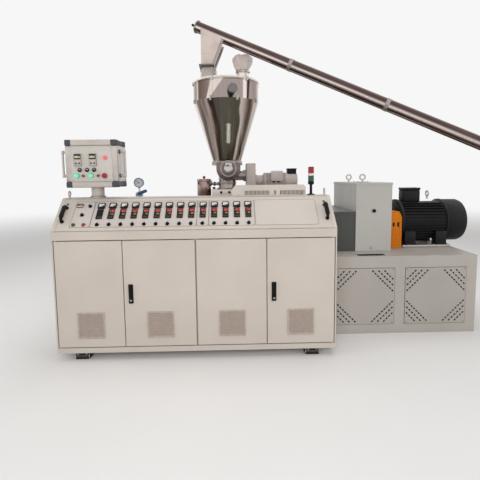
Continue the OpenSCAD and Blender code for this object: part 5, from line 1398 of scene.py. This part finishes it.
# Hopper
def hopper_body():
    """Polished cone and drum with painted reflections, the flange below, and clamps round the seam between
    them.
    """
    p = Piece("hopper_body").at(HOPPER)
    inner, low_in, foot = HOP_R - HOP_WALL, HOP_LOW_R - HOP_WALL, HOP_LOW + HOP_FLANGE_T
    seam_half, seam_out, rim_out = 0.004, 0.0010, 0.004
    cone_r = HOP_R - seam_half * (HOP_R - HOP_LOW_R) / (HOP_SEAM - foot)
    p.turned(((low_in, foot), (HOP_LOW_R, foot), (cone_r, HOP_SEAM - seam_half), (HOP_R + seam_out, HOP_SEAM),
              (inner, HOP_SEAM)), CONE, 128, loop=True)
    p.turned(((inner, HOP_SEAM), (HOP_R + seam_out, HOP_SEAM), (HOP_R, HOP_SEAM + seam_half),
              (HOP_R, HOP_TOP - 0.010), (HOP_R + rim_out, HOP_TOP - 0.008), (HOP_R + rim_out, HOP_TOP),
              (inner, HOP_TOP)), DRUM, 128, loop=True)
    r = HOP_FLANGE_R
    p.turned(((low_in, HOP_LOW), (r - 0.002, HOP_LOW), (r, HOP_LOW + 0.002), (r, foot - 0.003),
              (r - 0.003, foot), (HOP_LOW_R + 0.006, foot), (HOP_LOW_R + 0.001, foot + 0.004),
              (low_in, foot)), STAINLESS, 96, loop=True)
    for k in range(8):
        p.at(HOPPER @ spin(45 * k + 19, "Z") @ shift(HOP_R, 0, HOP_SEAM))
        p.block((-0.002, -0.011, -0.022), (0.004, 0.011, 0.024), CHROME, 0.001)
        p.block((0.002, -0.006, -0.010), (0.013, 0.006, 0.012), CHROME, 0.002)
        p.rod(((0.009, 0, -0.018), (0.009, 0, 0.020)), 0.0035, CHROME, 10)
    for k in range(4):
        p.at(HOPPER @ spin(90 * k + 45, "Z") @ shift(r - 0.010, 0, foot))
        hex_bolt(p, 0, 0, 0, 0.009)
    p.done("polished_stainless", ["hopper_shell"])


def hopper_cover():
    """A flat lid with a rolled rim, open under its two necks, held by clamps."""
    p = Piece("hopper_cover").at(HOPPER @ shift(0, 0, HOP_TOP))
    rim, sheet = HOP_R + LID_OUT, 0.003
    flat = rim - 0.012
    holes = [disc(INLET_R - sheet, 40, INLET_X)(), disc(OUTLET_R - sheet, 40, OUTLET_X)()]
    p.pierced(disc(flat, 96)(), holes, LID_T - sheet, LID_T, LID_STEEL)
    p.turned(((flat, LID_T), (rim - 0.004, LID_T - 0.001), (rim, LID_T - 0.006), (rim, 0.006),
              (rim - 0.002, 0.002), (rim - 0.006, 0.0005), (flat, 0.002), (flat, LID_T - sheet)),
             LID_STEEL, 96, loop=True)
    for k in range(6):
        p.at(HOPPER @ spin(60 * k + 8, "Z") @ shift(rim - 0.002, 0, HOP_TOP))
        p.block((-0.004, -0.008, -0.016), (0.006, 0.008, LID_T + 0.002), CHROME, 0.002)
        p.rod(((0.004, 0, -0.012), (0.004, 0, LID_T)), 0.004, CHROME, 10)
    p.done("polished_stainless", ["hopper_lid"])


def hopper_necks():
    """The inlet's and the outlet's collars, with a fillet below and a rolled lip."""
    p = Piece("hopper_necks")
    for x, r, h in ((INLET_X, INLET_R, INLET_H), (OUTLET_X, OUTLET_R, OUTLET_H)):
        p.at(HOPPER @ shift(x, 0, HOP_TOP + LID_T))
        p.turned(((r - 0.003, 0), (r + 0.004, 0), (r, 0.004), (r, h - 0.008), (r + 0.0025, h - 0.006),
                  (r + 0.0025, h - 0.002), (r, h), (r - 0.003, h)), LID_STEEL, 56, loop=True)
    p.done("polished_stainless", ["hopper_collars"])


def hopper_gauges():
    """A ribbed level switch on the drum and a long sight glass on the cone."""
    switch_turn, switch_z, glass_turn, glass_z, proud = 9.7, 2.235, 5, 1.845, 0.0003
    p = Piece("hopper_gauges")
    p.at(HOPPER @ spin(switch_turn, "Z") @ shift(0, -HOP_R - proud, switch_z) @ FRONT)
    p.turned(((0.034, 0), (0.034, 0.004), (0.026, 0.006), (0.024, 0.024), (0.040, 0.028), (0.043, 0.032),
              (0.043, 0.068), (0.040, 0.075), (0.034, 0.0775), (0.012, 0.078)), CAP_GREY, 48)
    for k in range(24):
        with p.moved(spin(15 * k, "Z")):
            p.block((0.0415, -0.0016, 0.036), (0.0438, 0.0016, 0.066), CAP_GREY, 0.0006)
    with p.moved(shift(-0.010, -0.036, 0.048), spin(90, "X")):
        p.turned(((0.012, 0), (0.012, 0.010), (0.014, 0.012), (0.014, 0.024), (0.010, 0.030), (0.008, 0.034)),
                 BLACK, 20)
    lean = math.atan2(HOP_R - HOP_LOW_R, HOP_SEAM - HOP_LOW - HOP_FLANGE_T)
    glass_r = HOP_LOW_R + (glass_z - HOP_LOW - HOP_FLANGE_T) * math.tan(lean)
    leaning = Matrix.Rotation(math.pi / 2 + lean, 4, "X")
    p.at(HOPPER @ spin(glass_turn, "Z") @ shift(0, -glass_r - proud, glass_z) @ leaning)
    p.border(rect(0.036, 0.196, 0.0178, steps=6), 0.0075, 0, 0.007, CHROME, 0.0015)
    p.slab(rect(0.026, 0.186, 0.0128, steps=6), 0, 0.0045, SIGHT, 0.0008)
    for x, y in product((-0.024, 0.024), (-0.078, 0.0, 0.080)):
        cap_screw(p, x, y, 0.0002, 0.0030)
    p.done("instrument_plastic", ["hopper_fittings"])


def limp(p, rings, look, wrinkle, seed, folds=5, sides=72):
    """A skin of film between rings of radius, height and crush, with folds that run along it."""
    rows = []
    for i, (radius, z, crush) in enumerate(rings):
        row = []
        for k in range(sides):
            angle = math.tau * k / sides
            way = Vector((math.cos(angle), math.sin(angle), 0))
            fold = math.sin(folds * angle + 2.2 * noise.noise(Vector((angle, seed, z * 6)))) * crush
            crease = noise.fractal(way * 1.7 + Vector((0, seed, z * 18)), 1.0, 2.0, 4) * wrinkle
            lift = noise.noise(way * 2.3 + Vector((seed, 0, z * 9))) * wrinkle * 1.2 * min(i, 3) / 3
            reach = radius * (1 + fold) + crease
            row.append((reach * way.x, reach * way.y, z + lift))
        rows.append(row)
    p.skin(rows, look, ends=False)


def clip_ring(p, inner, outer, high):
    """A flat metal band round a film's gathered end."""
    p.turned(((inner, 0), (outer, 0), (outer, high), (inner, high)), CHROME, 48, loop=True)


def vent_sack():
    """A closed cloth sack, gathered on the outlet's neck by a clip."""
    top = HOP_TOP + LID_T + OUTLET_H
    p = Piece("vent_sack").at(HOPPER @ shift(OUTLET_X, 0, top))
    rings = [(0.0655, -0.030, 0.015), (0.0650, -0.016, 0.02), (0.0660, 0.002, 0.04), (0.0680, 0.014, 0.06),
             (0.0760, 0.030, 0.07), (0.0860, 0.050, 0.06), (0.0940, 0.070, 0.05), (0.1000, 0.090, 0.05),
             (0.1020, 0.108, 0.05), (0.0960, 0.124, 0.06), (0.0780, 0.136, 0.07), (0.0500, 0.143, 0.08),
             (0.0200, 0.146, 0.08), (0.0020, 0.147, 0.08)]
    limp(p, rings, BAG, 0.0075, 3.7)
    made = p.done("bag_cloth", ["vent_bag"], sharp=70)
    p = Piece("vent_sack_clip").at(HOPPER @ shift(OUTLET_X, 0, top - 0.024))
    clip_ring(p, 0.0640, 0.0690, 0.010)
    p.block((0.064, -0.010, -0.002), (0.076, 0.010, 0.012), CHROME, 0.002)
    clip = p.done("stainless")


def inlet_sleeve():
    """A clear sleeve, gathered on the inlet's neck by a clip."""
    top = HOP_TOP + LID_T + INLET_H
    p = Piece("inlet_sleeve").at(HOPPER @ shift(INLET_X, 0, top))
    rings = [(0.0780, -0.100, 0.01), (0.0790, -0.085, 0.02), (0.0830, -0.065, 0.03), (0.0800, -0.045, 0.04),
             (0.0850, -0.028, 0.03), (0.0790, -0.012, 0.03), (0.0760, -0.003, 0.02)]
    limp(p, rings, SLEEVE, 0.006, 8.1, folds=7)
    made = p.done("bag_cloth", sharp=70)
    p = Piece("inlet_sleeve_clip").at(HOPPER @ shift(INLET_X, 0, top - 0.098))
    clip_ring(p, 0.0770, 0.0815, 0.009)
    clip = p.done("stainless")


# Loader
def loader_head():
    """A chute that tapers down to its plate, with bolted edges along its sloping side."""
    p = Piece("loader_head").at(place(0, MID_Y + CHUTE_D / 2, 0) @ FRONT)
    left, right, top = CHUTE_X, CHUTE_X + CHUTE_LOW, CHUTE_Z + CHUTE_PLATE
    run, rise = CHUTE_HIGH - CHUTE_LOW, TUBE_Z - 0.100 - top
    lean, length = math.atan2(run, rise), math.hypot(run, rise)
    side = shape((left, top - 0.001), (right, top - 0.001), (left + CHUTE_HIGH, top + rise), (left, TUBE_Z))
    p.slab(side, 0, CHUTE_D, CHUTE, 0.004, 0.004)
    leaning = FRONT @ Matrix.Rotation(-lean, 4, "Z")
    for z in (-0.012, CHUTE_D - 0.004):
        p.at(place(right, MID_Y + CHUTE_D / 2 - z, top) @ leaning)
        p.block((-0.006, 0.004, -0.016), (0.022, length - 0.004, 0), STAINLESS, 0.0015)
        hex_bolts(p, [(0.012, 0.03 + k * (length - 0.06) / 4) for k in range(5)], 0, 0.005)
    p.at(place(right, MID_Y + CHUTE_D / 2, top) @ leaning)
    p.block((0.0, 0.006, 0.010), (0.003, length - 0.006, CHUTE_D - 0.010), CHUTE, 0.001)
    p.at(place(left + CHUTE_LOW / 2, MID_Y, CHUTE_Z))
    plate = rect(CHUTE_LOW + 2 * CHUTE_LIP, CHUTE_D + 2 * CHUTE_LIP, 0.004)
    p.slab(plate, 0, CHUTE_PLATE, TOOL_STEEL, 0.001, 0.001)
    hex_bolts(p, product((-0.062, 0, 0.062), (-0.116, 0.116)), CHUTE_PLATE, 0.006)
    p.done("stainless", ["loader_chute"])


def loader_spout():
    """The long tube with painted reflections: two joint bands, a bolted flange below with its mouth lined
    dark as painted shade, and a bearing cap on its head.
    """
    p = Piece("loader_spout").at(TUBE)
    r, bore, head, end = TUBE_R, TUBE_R - 0.004, -TUBE_UP, TUBE_DOWN
    p.turned(((bore, head), (r, head + 0.002), (r, end - 0.016), (r + 0.005, end - 0.014)), TUBE_STEEL, 96)
    for z in (0.900, 1.850):
        p.turned(((r, z), (r + 0.004, z + 0.001), (r + 0.004, z + 0.035), (r, z + 0.036)), STAINLESS, 64)
    holes = [disc(0.0055, 16, x, y)() for x, y in around(0.072, 6)]
    p.pierced(disc(TUBE_FLANGE_R, 72)(), holes + [disc(bore, 48)()], end - TUBE_FLANGE_T, end, STAINLESS)
    inner, deep, lip = bore - 0.001, end - 0.080, end - 0.001
    # Painted shade: a dark lining inside the tube's lower end.
    p.turned(((bore, deep), (bore, lip), (inner, lip), (inner, deep)), DARK, 48)
    p.turned(((0.012, head - 0.030), (0.028, head - 0.030), (0.031, head - 0.026), (0.031, head - 0.013),
              (r + 0.006, head - 0.012), (r + 0.008, head - 0.010), (r + 0.008, head - 0.001),
              (r + 0.006, head + 0.001), (r - 0.002, head + 0.002)), STAINLESS, 56)
    p.turned(((0.008, head - 0.070), (0.012, head - 0.067), (0.012, head - 0.030), (0.010, head - 0.028)),
             BLACK, 24)
    for k in range(4):
        p.at(TUBE @ spin(90 * k + 45, "Z") @ shift(0.048, 0, head - 0.012) @ spin(180, "X"))
        hex_bolt(p, 0, 0, 0, 0.007)
    p.done("stainless", ["loader_tube"])


# Camera, lamps and floor
def camera():
    """The photograph's view."""
    scene = bpy.context.scene
    lens = bpy.data.cameras.new("camera")
    lens.lens, lens.sensor_width, lens.shift_y, lens.clip_end = 28.575, 36, -0.0542, 200
    eye, turns = (1.3825, -2.9089, 1.4338), (-1.269, -5.656, 0.662)
    yaw, pitch, roll = (math.radians(angle) for angle in turns)
    turn = Matrix.Rotation(yaw, 3, "Z") @ Matrix.Rotation(pitch, 3, "X") @ Matrix.Rotation(roll, 3, "Y")
    aim = Matrix((turn.col[0], turn.col[2], -turn.col[1])).transposed()
    holder = bpy.data.objects.new("camera", lens)
    holder.matrix_world = place(*eye) @ aim.to_4x4()
    scene.collection.objects.link(holder)
    scene.camera = holder
    scene.view_settings.view_transform = "Standard"


def surroundings():
    """A soft world light, which looks like a pale wall to the camera, mirrors and glass."""
    world = bpy.data.worlds.new("studio")
    world.use_nodes = True
    bpy.context.scene.world = world
    tree = world.node_tree
    back = tree.nodes["Background"]
    seen = tree.nodes.new("ShaderNodeBackground")
    seen.inputs["Color"].default_value = WALL
    back.inputs["Color"].default_value = (1.0, 0.985, 0.965, 1.0)
    back.inputs["Strength"].default_value = 0.42
    rays = tree.nodes.new("ShaderNodeLightPath").outputs
    any_ray = rays["Is Camera Ray"]
    for name in ("Is Glossy Ray", "Is Transmission Ray"):
        either = tree.nodes.new("ShaderNodeMath")
        either.operation = "MAXIMUM"
        tree.links.new(any_ray, either.inputs[0])
        tree.links.new(rays[name], either.inputs[1])
        any_ray = either.outputs[0]
    mix = tree.nodes.new("ShaderNodeMixShader")
    for socket, value in enumerate((any_ray, back.outputs[0], seen.outputs[0])):
        tree.links.new(value, mix.inputs[socket])
    tree.links.new(mix.outputs[0], tree.nodes["World Output"].inputs[0])


def lamps():
    """Square lamps that look at the machine's middle."""
    target = Vector((0, 0, 1.0))
    for name, spot, size, power in (("key", (-0.8, -5.2, 1.9), 3.0, 98), ("fill", (4.6, -3.6, 1.9), 3.0, 66),
                                    ("left", (-5.4, -1.2, 2.2), 3.0, 55), ("top", (0.4, 0.2, 5.6), 4.0, 85),
                                    ("rim", (0.5, 5.2, 2.4), 3.2, 110)):
        lamp = bpy.data.lights.new(name, "AREA")
        lamp.shape, lamp.size, lamp.energy = "SQUARE", size, power
        holder = bpy.data.objects.new(name, lamp)
        way = target - Vector(spot)
        holder.matrix_world = Matrix.Translation(spot) @ way.to_track_quat("-Z", "Y").to_matrix().to_4x4()
        holder.visible_glossy = False
        bpy.context.scene.collection.objects.link(holder)


def pale_floor():
    """A pale floor that fades into the wall, a little darker where it lights the machine."""
    reach = 60.0
    ground = bpy.data.meshes.new("floor")
    edge = [(-reach, -reach, 0), (reach, -reach, 0), (reach, reach, 0), (-reach, reach, 0)]
    ground.from_pydata(edge, [], [(0, 1, 2, 3)])
    floor = bpy.data.objects.new("floor", ground)
    bpy.context.scene.collection.objects.link(floor)
    s = Shader("floor", Roughness=0.9)
    pale = s.mix(s.noise(1.5, 3.0), srgb(234, 233, 232), srgb(239, 238, 237))
    s.set("Base Color", s.mix(s.node("LightPath").outputs["Is Camera Ray"], srgb(196, 193, 190), pale))
    distance = s.node("VectorMath", (0, s.place), operation="LENGTH").outputs["Value"]
    far = s.node("MapRange", ("Value", distance), ("From Min", 4.0), ("From Max", 16.0),
                 interpolation_type="SMOOTHSTEP")
    light = s.node("Emission", ("Color", WALL))
    rays = s.node("LightPath").outputs
    visible = s.maths("MAXIMUM", rays["Is Camera Ray"], rays["Is Glossy Ray"])
    share = s.maths("MULTIPLY", far.outputs[0], visible)
    blend = s.node("MixShader", (0, share), (1, s.surface.outputs[0]), (2, light.outputs[0]))
    s.tree.links.new(blend.outputs[0], s.tree.nodes["Material Output"].inputs[0])
    ground.materials.append(s.material)


def dress_nodes():
    """Gives every solid that stays in view its finish."""
    slots = {part["node"]: part["material_slot"] for part in frame["record"]["subparts"]}
    for name, node in frame["nodes"].items():
        node.data.materials.clear()
        node.data.materials.append(SLOT_LOOKS[slots[name]])


for step in (camera, surroundings, lamps, pale_floor, dress_nodes):
    step()
for leaf in range(len(LEAVES)):
    door_filter(leaf)
    door_gasket(leaf)
for leaf in (1, 3):
    door_handle(leaf)
for build in (cabinet_feet, temperature_controllers, ammeters, console_switches, console_handles,
              console_seal, vent_cover, signal_tower, operator_case, operator_instruments, operator_grips,
              operator_post_trim, base_covers, base_top_slot, gearbox_trim, coupling_cover, drive_motor,
              barrel_trim, vacuum_pot, gauge_group, feed_block, feeder, feeder_gearmotor, hopper_body,
              hopper_cover, hopper_necks, hopper_gauges, vent_sack, inlet_sleeve, loader_head,
              loader_spout):
    build()
